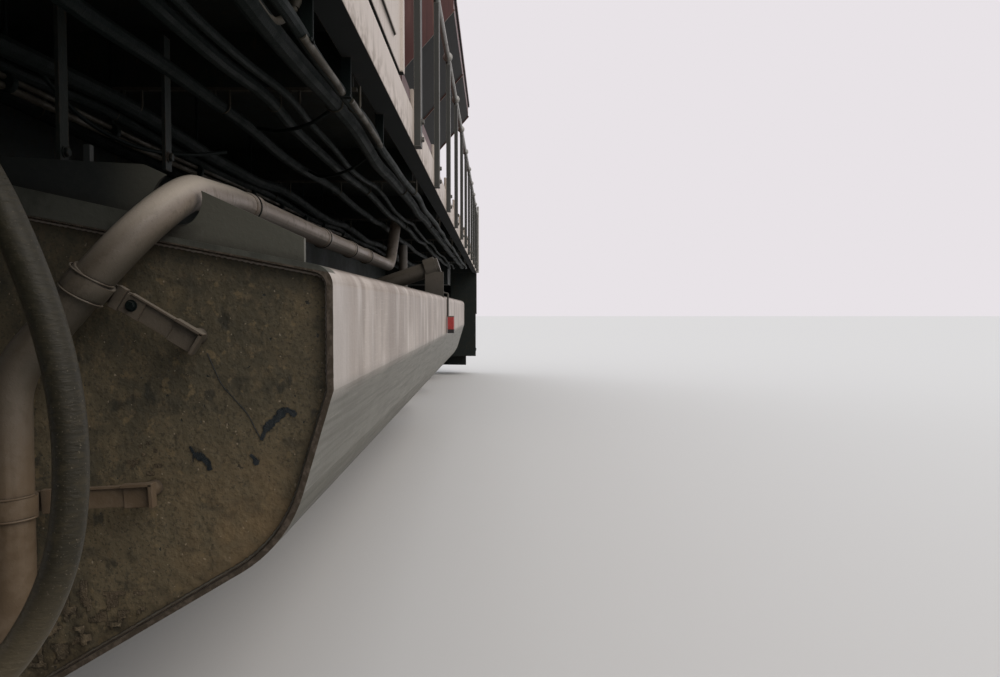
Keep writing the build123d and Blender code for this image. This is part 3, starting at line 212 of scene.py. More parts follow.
def set_lamp(name, energy, aim, soft_deg, colour):
    """A distant lamp with a soft edge, that shines along aim."""
    data = bpy.data.lights.new(name, "SUN")
    data.energy = energy
    data.angle = math.radians(soft_deg)
    data.color = linear(colour)[:3]
    placed(name, data).rotation_euler = Vector(aim).to_track_quat("-Z", "Y").to_euler()


def lay_floor(size=240.0):
    """A plain pale floor. It throws back little light, so that what hangs under the platform stays dark."""
    mesh = bpy.data.meshes.new("floor")
    h = size / 2
    mesh.from_pydata([(-h, -h, 0), (h, -h, 0), (h, h, 0), (-h, h, 0)], [], [(0, 1, 2, 3)])
    material = bpy.data.materials.new("floor_paint")
    tree = cleared(material)
    pale = add(tree, "ShaderNodeBsdfDiffuse", {"Color": linear("DEDCDA")})
    dim = add(tree, "ShaderNodeBsdfDiffuse", {"Color": linear("5E5B57")})
    both = add(tree, "ShaderNodeMixShader", {0: seen_directly(tree), 1: dim.outputs[0], 2: pale.outputs[0]})
    add(tree, "ShaderNodeOutputMaterial", {"Surface": both.outputs[0]})
    mesh.materials.append(material)
    placed("floor", mesh)


# How a finish is made

class Finish:
    """A finish in the making: one colour, roughness and height, and the coats that are laid over them."""

    def __init__(self, name, colour, roughness, metallic, ior):
        self.material = bpy.data.materials.new(name)
        self.tree = cleared(self.material)
        coordinates = add(self.tree, "ShaderNodeTexCoord").outputs
        self.place = coordinates["Object"]
        self.x, self.y, self.z = add(self.tree, "ShaderNodeSeparateXYZ", {0: self.place}).outputs
        self.ahead, self.aside, self.up = add(self.tree, "ShaderNodeSeparateXYZ", {0: coordinates["Normal"]}).outputs
        self.colour, self.roughness = linear(colour), roughness
        self.metallic, self.ior = metallic, ior
        self.height = None

    def away(self, value, centre=0.0):
        """How far a value is from a centre, to either side."""
        past = add(self.tree, "ShaderNodeMath", {0: value, 1: centre}, operation="SUBTRACT").outputs[0]
        return add(self.tree, "ShaderNodeMath", {0: past}, operation="ABSOLUTE").outputs[0]

    def ramp(self, value, low, high):
        """A mask that is 0 where a value is low and 1 where it is high."""
        return add(self.tree, "ShaderNodeMapRange", {"Value": value, "From Min": low, "From Max": high},
                   interpolation_type="SMOOTHSTEP").outputs[0]

    def patches(self, size_mm, low, high, stretch=(1, 1, 1), shift=0.0, detail=3.0):
        """A mask of soft-edged patches about size_mm across, longer along an axis by stretch."""
        rate = [1000 / (size_mm * longer) for longer in stretch]
        at = add(self.tree, "ShaderNodeVectorMath", {0: self.place, 1: rate, 2: (shift, shift, shift)},
                 operation="MULTIPLY_ADD")
        cloud = add(self.tree, "ShaderNodeTexNoise",
                    {"Vector": at.outputs[0], "Scale": 1.0, "Detail": detail, "Roughness": 0.6})
        return self.ramp(cloud.outputs[0], low, high)

    def crevices(self, reach_mm):
        """A mask of inner corners, taken from how shut in they are: the dark coats laid with it are grime there and
        painted shade.
        """
        shade = add(self.tree, "ShaderNodeAmbientOcclusion", {"Distance": reach_mm / 1000}, samples=4)
        return self.ramp(shade.outputs["AO"], 0.85, 0.35)

    def edges(self, reach_mm):
        """A mask of outer edges, where paint wears through."""
        eased = add(self.tree, "ShaderNodeBevel", {"Radius": reach_mm / 1000}, samples=4)
        true = add(self.tree, "ShaderNodeNewGeometry").outputs["Normal"]
        likeness = add(self.tree, "ShaderNodeVectorMath", {0: eased.outputs[0], 1: true}, operation="DOT_PRODUCT")
        return self.ramp(likeness.outputs["Value"], 0.985, 0.90)

    def all_of(self, *masks):
        """A mask that is 1 only where all of these are."""
        held = masks[0]
        for other in masks[1:]:
            held = add(self.tree, "ShaderNodeMath", {0: held, 1: other}, operation="MULTIPLY").outputs[0]
        return held

    def coat(self, mask, colour, roughness, amount=1.0):
        """Lays another colour, and its roughness, over the finish where the mask is 1."""
        share = self.all_of(mask, amount)
        self.colour = add(self.tree, "ShaderNodeMix", {0: share, 6: self.colour, 7: linear(colour)},
                          data_type="RGBA").outputs[2]
        self.roughness = add(self.tree, "ShaderNodeMix", {0: share, 2: self.roughness, 3: roughness},
                             data_type="FLOAT").outputs[0]

    def mottle(self, size_mm, low, high, colour, roughness, amount=1.0, stretch=(1, 1, 1), shift=0.0, on=None,
               detail=3.0):
        """Lays patches of another colour over the finish, where on is 1."""
        spots = self.patches(size_mm, low, high, stretch, shift, detail)
        self.coat(spots if on is None else self.all_of(on, spots), colour, roughness, amount)

    def raise_by(self, mask, height_mm):
        """Lifts the surface by height_mm where the mask is 1, or sinks it where that is negative."""
        before = 0.0 if self.height is None else self.height
        self.height = add(self.tree, "ShaderNodeMath", {0: mask, 1: height_mm / 1000, 2: before},
                          operation="MULTIPLY_ADD").outputs[0]

    def done(self, sockets):
        """The material. sockets are more of the shader's own values, such as Coat_Weight."""
        inputs = {"Base Color": self.colour, "Roughness": self.roughness, "Metallic": self.metallic, "IOR": self.ior}
        inputs.update({name.replace("_", " "): value for name, value in sockets.items()})
        if self.height is not None:
            inputs["Normal"] = add(self.tree, "ShaderNodeBump", {"Height": self.height, "Distance": 1.0}).outputs[0]
        shader = add(self.tree, "ShaderNodeBsdfPrincipled", inputs)
        add(self.tree, "ShaderNodeOutputMaterial", {"Surface": shader.outputs[0]})
        return self.material


materials = {}


def finish(colour, roughness, metallic=0.0, ior=1.5, **sockets):
    """Makes a material from a function that lays its coats, and keeps it in materials by the function's name."""
    def keep(lay):
        f = Finish(lay.__name__, colour, roughness, metallic, ior)
        lay(f)
        materials[lay.__name__] = f.done(sockets)
        return lay
    return keep


# Finishes

@finish("C0B3A8", 0.45)
def tank_enamel(f):
    """Grey-white alkyd enamel on rolled plate: chalky, streaked down by spilt fuel, its ends caked in brown dirt;
    painted shade darkens its ends, its lower slope and its top under the walkway, and a painted highlight pales its
    side near the front.
    """
    f.mottle(620, 0.38, 0.66, "998B80", 0.5, 0.75)
    f.mottle(9, 0.42, 0.70, "A0938A", 0.6, 0.12, (1, 1, 60), 3.0)
    f.mottle(150, 0.46, 0.66, "8A7C70", 0.5, 0.6, (1, 1, 3), 17.0)
    f.mottle(34, 0.50, 0.72, "877A6E", 0.6, 0.18, (1, 1, 26), 7.0)
    f.mottle(4, 0.52, 0.70, "D0C7BF", 0.4, 0.3, (30, 30, 1), 23.0)
    f.mottle(90, 0.50, 0.68, "DAD1C9", 0.35, 0.55, (1, 1, 4), 12.0)
    f.mottle(300, 0.42, 0.62, "8F8278", 0.5, 0.5, (1, 1, 2), 71.0)
    f.mottle(5, 0.62, 0.70, "75655A", 0.7, 0.4)
    # Painted highlight: the side is paler towards the front plate
    f.coat(f.ramp(f.x, plate_front - 0.22, plate_front - 0.01), "CBC2BA", 0.35, 0.5)
    # Painted shade: below the knuckle, where the side faces down, it is darker green-grey; the streaks over it are
    # brushed marks
    below_knuckle = f.ramp(f.z, tank_knuckle[1] + 0.02, tank_knuckle[1] - 0.03)
    f.coat(below_knuckle, "69685D", 0.5, 0.9)
    f.mottle(12, 0.42, 0.70, "55544B", 0.6, 0.45, (26, 1, 1), on=below_knuckle)
    f.mottle(8, 0.56, 0.72, "8E8B7E", 0.4, 0.35, (34, 1, 1), 4.0, below_knuckle)
    f.mottle(60, 0.35, 0.60, "5A4C3C", 0.85, 0.85, on=f.ramp(f.z, 0.78, 0.30))
    f.coat(f.ramp(f.up, 0.55, 0.9), "4B4238", 0.85, 0.8)
    f.mottle(40, 0.42, 0.55, "4A3426", 0.8, 0.75, on=f.edges(7))
    # Brown dirt lies on the two end plates, and their dark brown is painted shade as well; the rim round each is rusty
    endwise = f.ramp(f.away(f.ahead), 0.8, 0.95)
    f.coat(endwise, "443A2E", 0.8)
    f.mottle(16, 0.45, 0.62, "6E6256", 0.7, 0.6, shift=3.0, on=endwise)
    front = f.all_of(f.ramp(f.x, plate_front - 0.004, plate_front - 0.001),
                     f.ramp(f.x, plate_front + 0.004, plate_front + 0.001))
    rear = f.ramp(f.x, tank_rear + tank_lip + 0.004, tank_rear + tank_lip + 0.001)
    end = f.all_of(endwise, add(f.tree, "ShaderNodeMath", {0: front, 1: rear}, operation="MAXIMUM").outputs[0])
    f.coat(end, "6A5F49", 0.72)
    f.mottle(420, 0.40, 0.62, "4A4536", 0.75, 0.8, shift=4.0, on=end)
    f.mottle(120, 0.46, 0.66, "7A6B50", 0.8, 0.6, (1, 1, 2), 9.0, end)
    f.mottle(46, 0.50, 0.70, "3A372C", 0.75, 0.65, (1, 1.5, 1), 15.0, end)
    f.mottle(15, 0.50, 0.68, "75664E", 0.85, 0.45, shift=21.0, on=end)
    f.mottle(6, 0.52, 0.66, "312E25", 0.7, 0.6, shift=27.0, on=end)
    spots = f.all_of(end, f.patches(22, 0.69, 0.71, shift=31.0))
    f.coat(spots, "1D2220", 0.35, 0.9)
    f.mottle(60, 0.62, 0.70, "2B2A22", 0.5, 0.75, (1, 1, 1.4), 44.0, end)
    f.mottle(24, 0.60, 0.70, "8A7757", 0.8, 0.5, shift=51.0, on=end)
    f.mottle(9, 0.745, 0.76, "A4957F", 0.6, 0.8, shift=40.0, on=end, detail=1.0)
    foot = f.all_of(end, f.ramp(f.z, 0.72, 0.36))
    f.mottle(60, 0.35, 0.6, "3F3523", 0.9, 0.65, on=foot)
    f.mottle(22, 0.52, 0.68, "8F7D5F", 0.9, 0.6, shift=63.0, on=foot)
    f.coat(f.all_of(end, f.ramp(f.z, 1.12, 1.28)), "3C392F", 0.75, 0.45)
    corner = f.all_of(end, f.ramp(f.y, 1.15, 1.45), f.ramp(f.z, 0.92, 0.68))
    f.mottle(70, 0.3, 0.6, "947A57", 0.7, 0.55, shift=61.0, on=corner)
    # Painted shade under the walkway: the ledge along the front plate's top is grey-green, and the support plate behind
    # it nearly black, paler outboard
    wide = f.away(f.y)
    past = add(f.tree, "ShaderNodeMath", {0: wide, 1: tank_crown[0]}, operation="SUBTRACT").outputs[0]
    past = add(f.tree, "ShaderNodeMath", {0: past, 1: 0.0}, operation="MAXIMUM").outputs[0]
    level = add(f.tree, "ShaderNodeMath", {0: past, 1: crown_fall, 2: f.z}, operation="MULTIPLY_ADD").outputs[0]
    over = f.all_of(f.ramp(level, tank_crown[1] - 0.012, tank_crown[1] - 0.008),
                    f.ramp(f.x, support_x, support_x + 0.005))
    f.coat(over, "1B2120", 0.75, 0.95)
    f.coat(f.all_of(over, f.ramp(wide, 1.10, 1.24)), "5F5E54", 0.7, 0.9)
    ledge = f.all_of(over, f.ramp(f.x, ledge_x, ledge_x + 0.004))
    f.coat(ledge, "51524A", 0.7, 0.95)
    f.mottle(60, 0.4, 0.62, "3C3D36", 0.75, 0.7, shift=6.0, on=ledge)
    # Grime and painted shade in the inner corners
    f.coat(f.crevices(40), "231F19", 0.9, 0.8)
    f.raise_by(f.patches(11, 0.4, 0.7, shift=2.0), 0.25)
    f.raise_by(f.all_of(end, f.patches(26, 0.35, 0.75, shift=15.0)), 1.2)
    f.raise_by(spots, -0.8)
    f.raise_by(f.patches(480, 0.3, 0.7, shift=8.0), 1.5)


@finish("8F8275", 0.42)
def pipe_paint(f):
    """Taupe paint on drawn steel pipe, matt with road dust; satin along its top, which is painted paler as a highlight,
    with painted shade beneath and down its drop.
    """
    f.mottle(160, 0.4, 0.62, "7B6D5E", 0.55, 0.7, (2, 1, 1))
    f.mottle(26, 0.52, 0.66, "665B4D", 0.7, 0.5, shift=5.0)
    f.mottle(4, 0.62, 0.68, "443C32", 0.6, 0.5, shift=9.0)
    f.mottle(9, 0.70, 0.74, "A59C90", 0.6, 0.6, shift=13.0)
    # Painted highlight: what faces up is paler; and painted shade: what faces down is dark
    f.coat(f.ramp(f.up, 0.3, 0.9), "B5A89A", 0.5, 0.75)
    f.coat(f.ramp(f.up, 0.0, -0.7), "322E26", 0.8, 0.85)
    # Painted highlight: the top of the pipe's bend is paler still
    f.coat(f.all_of(f.ramp(f.up, 0.1, 0.7), f.ramp(f.x, 1.1, 1.6)), "D2C6B7", 0.4, 0.8)
    # The pipe is painted darker down its drop, as shade, and is brown with splashed mud at its foot
    f.coat(f.ramp(f.z, 1.36, 1.20), "453F33", 0.6, 0.72)
    low = f.ramp(f.z, 1.02, 0.72)
    f.coat(low, "7D6850", 0.7, 0.6)
    f.mottle(50, 0.35, 0.6, "5B4933", 0.85, 0.6, on=low)
    f.mottle(20, 0.4, 0.5, "5A4433", 0.7, 0.6, on=f.edges(3))
    # Grime and painted shade in the inner corners
    f.coat(f.crevices(30), "2A251E", 0.9, 0.7)
    f.raise_by(f.patches(7, 0.45, 0.7), 0.2)


@finish("8F8275", 0.42)
def filler_paint(f):
    """The pipe's paint on the filler, dark with fuel, and the cut-off's red moulded grip, black at its foot."""
    pipe_paint(f)
    f.coat(f.ramp(f.z, 0.5, 0.6), "33322C", 0.55, 0.75)
    grip = f.all_of(f.ramp(f.away(f.y), 1.564, 1.566), f.ramp(f.z, 1.086, 1.084))
    f.coat(grip, "B23A38", 0.4)
    f.mottle(20, 0.45, 0.62, "96302F", 0.5, 0.6, on=grip)
    f.mottle(5, 0.62, 0.68, "CDAAA2", 0.6, 0.5, on=grip)
    f.coat(f.all_of(grip, f.ramp(f.z, 1.003, 0.999)), "1A1817", 0.6)
    f.coat(f.all_of(grip, f.ramp(f.z, 1.074, 1.080)), "6A655C", 0.6)


@finish("312D22", 0.5, Specular_IOR_Level=0.25)
def hose_rubber(f):
    """Extruded synthetic rubber, cloth-marked: grey-brown with dust, darker towards its top, with a painted highlight
    on the side that faces inboard.
    """
    f.mottle(90, 0.42, 0.62, "26241B", 0.45, 0.7, (1, 1, 2))
    f.mottle(16, 0.5, 0.66, "5E543F", 0.7, 0.2, (1, 1, 0.4), 4.0)
    f.mottle(3, 0.64, 0.70, "8A806F", 0.8, 0.5, shift=8.0)
    f.coat(f.ramp(f.z, 0.85, 0.60), "8C7F68", 0.6, 0.75)
    f.coat(f.ramp(f.z, 0.98, 1.18), "25251C", 0.5, 0.5)
    # Painted highlight on the side that faces inboard
    f.coat(f.ramp(f.aside, -0.3, -0.9), "7A6E58", 0.6, 0.5)
    # The wrapping cloth's ribs are 4 mm apart
    ribs = f.patches(4, 0.35, 0.65, (4, 4, 1), 2.0, 1.0)
    f.coat(ribs, "453F31", 0.6, 0.15)
    f.raise_by(ribs, 0.18)
    f.raise_by(f.patches(14, 0.45, 0.75, (1, 1, 0.4)), 0.4)


@finish("0C1413", 0.6, Specular_IOR_Level=0.12)
def cable_jacket(f):
    """Extruded black cable jacket, dulled by dust."""
    f.mottle(60, 0.42, 0.62, "111917", 0.75, 0.8)
    f.coat(f.ramp(f.up, 0.2, 0.9), "2C2D28", 0.85, 0.5)
    f.raise_by(f.patches(5, 0.45, 0.7), 0.3)


@finish("4E4A40", 0.5, 0.2, Specular_IOR_Level=0.25)
def conduit_zinc(f):
    """Hot-dip galvanised conduit: grey with a faint spangle, browned by dust."""
    f.mottle(14, 0.45, 0.62, "45423A", 0.55, 0.6)
    f.mottle(80, 0.4, 0.6, "3A352C", 0.8, 0.7, shift=4.0)
    f.coat(f.ramp(f.x, 1.9, 2.7), "9A8F7C", 0.5, 0.6)
    # Grime and painted shade in the inner corners
    f.coat(f.crevices(30), "1B1A16", 0.9, 0.7)
    f.raise_by(f.patches(6, 0.45, 0.7), 0.2)


@finish("1B2220", 0.6, Specular_IOR_Level=0.25)
def underframe_paint(f):
    """Black chassis paint on rolled steel: nearly matt, browned by dust on what faces up, with oil and painted shade in
    its corners.
    """
    f.mottle(300, 0.4, 0.65, "242823", 0.75, 0.8)
    f.mottle(40, 0.5, 0.68, "302D26", 0.8, 0.5, shift=5.0)
    f.mottle(18, 0.60, 0.70, "453728", 0.85, 0.5, (1, 1, 4), 11.0)
    f.coat(f.ramp(f.up, 0.4, 0.95), "4D463A", 0.9, 0.7)
    f.mottle(60, 0.45, 0.6, "5B4636", 0.75, 0.5, on=f.edges(5))
    # Oil and painted shade in the inner corners
    f.coat(f.crevices(60), "0D1312", 0.6, 0.6)
    f.raise_by(f.patches(9, 0.45, 0.7), 0.3)


@finish("1B2220", 0.6, Specular_IOR_Level=0.25)
def walkway_paint(f):
    """The chassis paint on rolled tread plate, whose raised lozenges are rubbed to bare steel."""
    underframe_paint(f)
    # The lozenges' rows are 36 mm apart both ways
    waves = []
    for kind in ("ADD", "SUBTRACT"):
        slant = add(f.tree, "ShaderNodeMath", {0: f.x, 1: f.y}, operation=kind).outputs[0]
        turn = add(f.tree, "ShaderNodeMath", {0: slant, 1: 2 * math.pi / 0.051}, operation="MULTIPLY").outputs[0]
        waves.append(add(f.tree, "ShaderNodeMath", {0: turn}, operation="SINE").outputs[0])
    lozenges = f.all_of(f.ramp(f.all_of(*waves), 0.35, 0.6), f.ramp(f.up, 0.6, 0.9))
    f.mottle(300, 0.4, 0.6, "7C766B", 0.45, 0.8, shift=6.0, on=lozenges)
    f.raise_by(lozenges, 1.5)


@finish("D6C9BE", 0.42, Specular_IOR_Level=0.3)
def cream_enamel(f):
    """Cream alkyd enamel on folded sheet: satin, greyed by soot, with thin brown runs and chipped edges, near-black
    painted shade on what faces down and a painted shadow along the foot of the cab's walls.
    """
    f.mottle(900, 0.4, 0.65, "BDAF9F", 0.5, 0.6)
    f.mottle(22, 0.52, 0.72, "A19282", 0.6, 0.35, (1, 1, 40), 3.0)
    f.mottle(60, 0.55, 0.72, "8E7F70", 0.65, 0.35, (1, 1, 14), 8.0)
    f.mottle(8, 0.66, 0.72, "6B5544", 0.8, 0.6, shift=14.0)
    f.coat(f.ramp(f.up, 0.5, 0.95), "A3978A", 0.75, 0.5)
    f.mottle(50, 0.4, 0.6, "77695B", 0.75, 0.5, on=f.ramp(f.z, sill_bottom + 0.10, sill_bottom))
    # Painted shade: what faces down is near-black
    f.coat(f.ramp(f.up, -0.6, -0.9), "080D0C", 0.95)
    # A painted shadow: a near-black band at the foot of the cab's walls stands for the shaded gap between them and the
    # walkway
    gap_shadow_band = f.all_of(f.ramp(f.z, platform_top + 0.001, platform_top + 0.002),
                      f.ramp(f.z, platform_top + 0.044, platform_top + 0.042))
    f.coat(f.all_of(gap_shadow_band, f.ramp(f.away(f.y), 1.549, 1.547)), "101616", 0.8)
    # Grime and painted shade in the inner corners
    f.coat(f.crevices(50), "4E453B", 0.85, 0.65)
    f.mottle(45, 0.48, 0.58, "6A4C38", 0.8, 0.8, on=f.edges(4))
    f.raise_by(f.patches(16, 0.45, 0.7), 0.12)
    f.raise_by(f.patches(700, 0.3, 0.7, shift=6.0), 2.0)


@finish("512B26", 0.42)
def maroon_enamel(f):
    """Maroon alkyd enamel on folded sheet: chalked brown-red, with near-black painted shade on what leans over and a
    painted highlight at its seams.
    """
    f.mottle(800, 0.4, 0.65, "5C352E", 0.5, 0.6)
    f.mottle(26, 0.50, 0.72, "3A211D", 0.6, 0.6, (1, 1, 36), 3.0)
    f.mottle(46, 0.56, 0.72, "7A5548", 0.6, 0.35, (1, 1, 12), 9.0)
    f.mottle(9, 0.66, 0.72, "86705F", 0.8, 0.5, shift=14.0)
    f.coat(f.ramp(f.up, 0.5, 0.95), "44362F", 0.8, 0.7)
    leaning = f.ramp(f.up, -0.25, -0.55)
    # Painted shade: what leans over is near-black
    f.coat(leaning, "0B1110", 0.9, 0.97)
    # Painted highlight: a pale line on the leaning underside at each seam, where the seam's flange catches the light
    for seam in (-4.686, -6.939, -9.204):
        f.coat(f.all_of(f.ramp(f.away(f.x, seam), 0.009, 0.007), leaning), "8F877B", 0.6, 0.85)
    # Grime and painted shade in the inner corners
    f.coat(f.crevices(60), "1F1714", 0.85, 0.6)
    f.mottle(45, 0.48, 0.58, "937B6B", 0.7, 0.7, on=f.edges(4))
    f.raise_by(f.patches(16, 0.45, 0.7), 0.12)
    f.raise_by(f.patches(700, 0.3, 0.7, shift=6.0), 2.0)


@finish("4B3E32", 0.7, 0.3)
def wheel_steel(f):
    """Rolled wheel steel: bright on the tread and flange, rust-brown and greasy on the plate."""
    f.mottle(90, 0.42, 0.62, "3A3029", 0.6, 0.7)
    f.mottle(22, 0.5, 0.66, "62503E", 0.85, 0.6, shift=6.0)
    # Grime and painted shade in the inner corners
    f.coat(f.crevices(70), "1E1A16", 0.5, 0.5)
    # The tread and flange, which face outward from the axle, are polished by the rail
    wide = f.away(f.y)
    tread = f.all_of(f.ramp(wide, 0.674, 0.678), f.ramp(wide, 0.806, 0.800), f.ramp(f.away(f.aside), 0.8, 0.5))
    f.coat(tread, "A39D94", 0.3, 0.9)
    f.raise_by(f.patches(12, 0.45, 0.7), 0.4)


@finish("2D2A25", 0.62, 0.1)
def cast_steel(f):
    """Sand-cast steel under black paint: pebbled, dusty on top, wet with oil below the journals."""
    f.mottle(220, 0.4, 0.65, "3A342B", 0.75, 0.8)
    f.mottle(40, 0.5, 0.66, "4C4133", 0.85, 0.55, shift=4.0)
    f.coat(f.ramp(f.up, 0.3, 0.9), "645642", 0.9, 0.8)
    f.mottle(80, 0.42, 0.6, "14120F", 0.3, 0.55, on=f.ramp(f.z, 0.75, 0.42))
    f.mottle(70, 0.45, 0.6, "5E5142", 0.6, 0.5, on=f.edges(6))
    # Casting grit, 4 mm across so that it shows
    f.raise_by(f.patches(4, 0.4, 0.7), 0.5)
    f.raise_by(f.patches(40, 0.4, 0.7, shift=3.0), 1.0)


@finish("2A2723", 0.5, 0.2)
def spring_steel(f):
    """Coiled spring steel, painted black, rubbed and dusty."""
    f.mottle(30, 0.45, 0.65, "4B4134", 0.8, 0.7)
    f.coat(f.ramp(f.up, 0.2, 0.9), "62553F", 0.9, 0.7)


@finish("3F413D", 0.5)
def rail_paint(f, pipe_from=rail_high.z - 0.058):
    """Handrail paint: grey-white on the pipe, dark grey on the posts, worn pale at their edges."""
    f.mottle(200, 0.4, 0.6, "3C3C38", 0.6, 0.6)
    f.coat(f.edges(4), "9A948B", 0.5, 0.85)
    pipe_only = f.ramp(f.z, pipe_from - 0.002, pipe_from + 0.002)
    f.coat(pipe_only, "A9A6A0", 0.45)
    f.mottle(50, 0.5, 0.62, "8A867E", 0.6, 0.6, on=pipe_only)
    # Grime and painted shade in the inner corners
    f.coat(f.crevices(40), "1F1E1B", 0.8, 0.5)


@finish("3F413D", 0.5)
def grip_paint(f):
    """The handrail pipe's grey-white, on the end rails and levers."""
    rail_paint(f, 0.0)


@finish("8FA09B", 0.04, ior=1.52, Transmission_Weight=0.85)
def window_glass(f):
    """Float glass with a grey-green tint, and a film of dust and painted shade at its edges."""
    # Dust and painted shade at the edges
    f.coat(f.crevices(60), "6E675C", 0.5, 0.6)


@finish("26272A", 0.5)
def seat_vinyl(f):
    """Embossed black vinyl: soft sheen over a fine leather grain, greyed in patches."""
    f.mottle(90, 0.42, 0.65, "33343A", 0.4, 0.6)
    # The grain's cells are 3 mm across so that they show
    f.raise_by(f.patches(3, 0.35, 0.7), 0.35)


@finish("6C6F70", 0.55)
def desk_paint(f):
    """Grey powder-coat with a fine orange-peel."""
    f.mottle(160, 0.42, 0.65, "5D6061", 0.6, 0.6)
    f.coat(f.edges(4), "8B8C8A", 0.5, 0.5)
    f.raise_by(f.patches(2, 0.4, 0.7), 0.1)


@finish("D9DEE0", 0.12, 0.35, Coat_Weight=1.0)
def lamp_glass(f):
    """Ribbed lamp glass over a silvered bowl: pale, glossy, faintly blue."""
    f.mottle(14, 0.45, 0.6, "AEB6BA", 0.2, 0.6, (1, 8, 1))
    f.raise_by(f.patches(10, 0.4, 0.6, (1, 1, 12)), 0.5)


@finish("DEDDD3", 0.3)
def board_face(f):
    """The number board's opal acrylic: off-white, satin, dulled towards its edges."""
    f.mottle(120, 0.42, 0.62, "C9C6B9", 0.4, 0.5)
    # Grime and painted shade towards its edges
    f.coat(f.crevices(30), "7E7868", 0.6, 0.6)


@finish("1F1F20", 0.42)
def lamp_black(f):
    """Black powder-coat of the lamp housings."""
    f.mottle(60, 0.45, 0.65, "34332F", 0.7, 0.6)
    f.coat(f.edges(4), "5B5953", 0.5, 0.6)


@finish("B8B7B2", 0.35, 0.9)
def horn_alloy(f):
    """Spun aluminium gone dull with soot."""
    f.mottle(40, 0.45, 0.65, "8E8B84", 0.5, 0.6)


@finish("5A4E3D", 0.92)
def dried_mud(f):
    """Dried clay and brake dust: matt brown-grey, crumbled, paler where it has flaked."""
    f.mottle(120, 0.4, 0.62, "463E31", 0.95, 0.8)
    f.mottle(24, 0.5, 0.66, "6C5E49", 0.95, 0.6, shift=5.0)
    f.coat(f.ramp(f.x, plate_front + 0.004, plate_front + 0.014), "83745B", 0.95, 0.7)
    f.mottle(7, 0.6, 0.68, "8A7C67", 0.95, 0.5, shift=9.0)
    # Painted shade and grime in the crust's hollows
    f.coat(f.crevices(14), "1E1A14", 0.95, 0.8)
    f.raise_by(f.patches(5, 0.35, 0.7), 0.9)


@finish("20272A", 0.35)
def oil_film(f):
    """Old gear oil dried to a blue-black film: smooth and half glossy over the dirt it has soaked."""
    f.mottle(12, 0.4, 0.62, "2C3032", 0.5, 0.7)
    f.raise_by(f.patches(6, 0.4, 0.7), 0.3)


# How shapes are made

def turns(count, extra=0):
    """Angles round a circle in count steps. With an extra one the last is the first again."""
    return [2 * math.pi * n / count for n in range(count + extra)]


def rounded_line(points, radii, steps=8):
    """The points of a line whose inner corners are rounded, each by its own radius."""
    points = [Vector(p) for p in points]
    line = [points[0]]
    for a, b, c, radius in zip(points, points[1:], points[2:], radii):
        u, v = (b - a).normalized(), (c - b).normalized()
        turn = u.angle(v)
        start = b - u * (radius * math.tan(turn / 2))
        across = (v - u * math.cos(turn)).normalized()
        centre = start + across * radius
        for n in range(steps + 1):
            t = turn * n / steps
            line.append(centre - across * (radius * math.cos(t)) + u * (radius * math.sin(t)))
    return line + [points[-1]]


def eased_line(points, steps=6):
    """A smooth line through its points, as a cable lies."""
    points = [Vector(p) for p in points]
    held = [2 * points[0] - points[1], *points, 2 * points[-1] - points[-2]]
    line = []
    for a, b, c, d in zip(held, held[1:], held[2:], held[3:]):
        for n in range(steps):
            t = n / steps
            line.append(0.5 * (2 * b + (c - a) * t + (2 * a - 5 * b + 4 * c - d) * t ** 2
                               + (3 * b - a - 3 * c + d) * t ** 3))
    return line + [points[-1]]


def evenly(line, step):
    """Points along a line, step apart."""
    out = [line[0]]
    left = step
    for a, b in zip(line, line[1:]):
        span = (b - a).length
        while left <= span:
            out.append(a.lerp(b, left / span))
            left += step
        left -= span
    return out


def soften(piece, width, segments=2):
    """Rounds a piece's sharp edges a little, as a real edge is."""
    eased = piece.modifiers.new("edges", "BEVEL")
    eased.width = width
    eased.segments = segments
    eased.limit_method = "ANGLE"
    eased.angle_limit = math.radians(30)
    eased.harden_normals = True


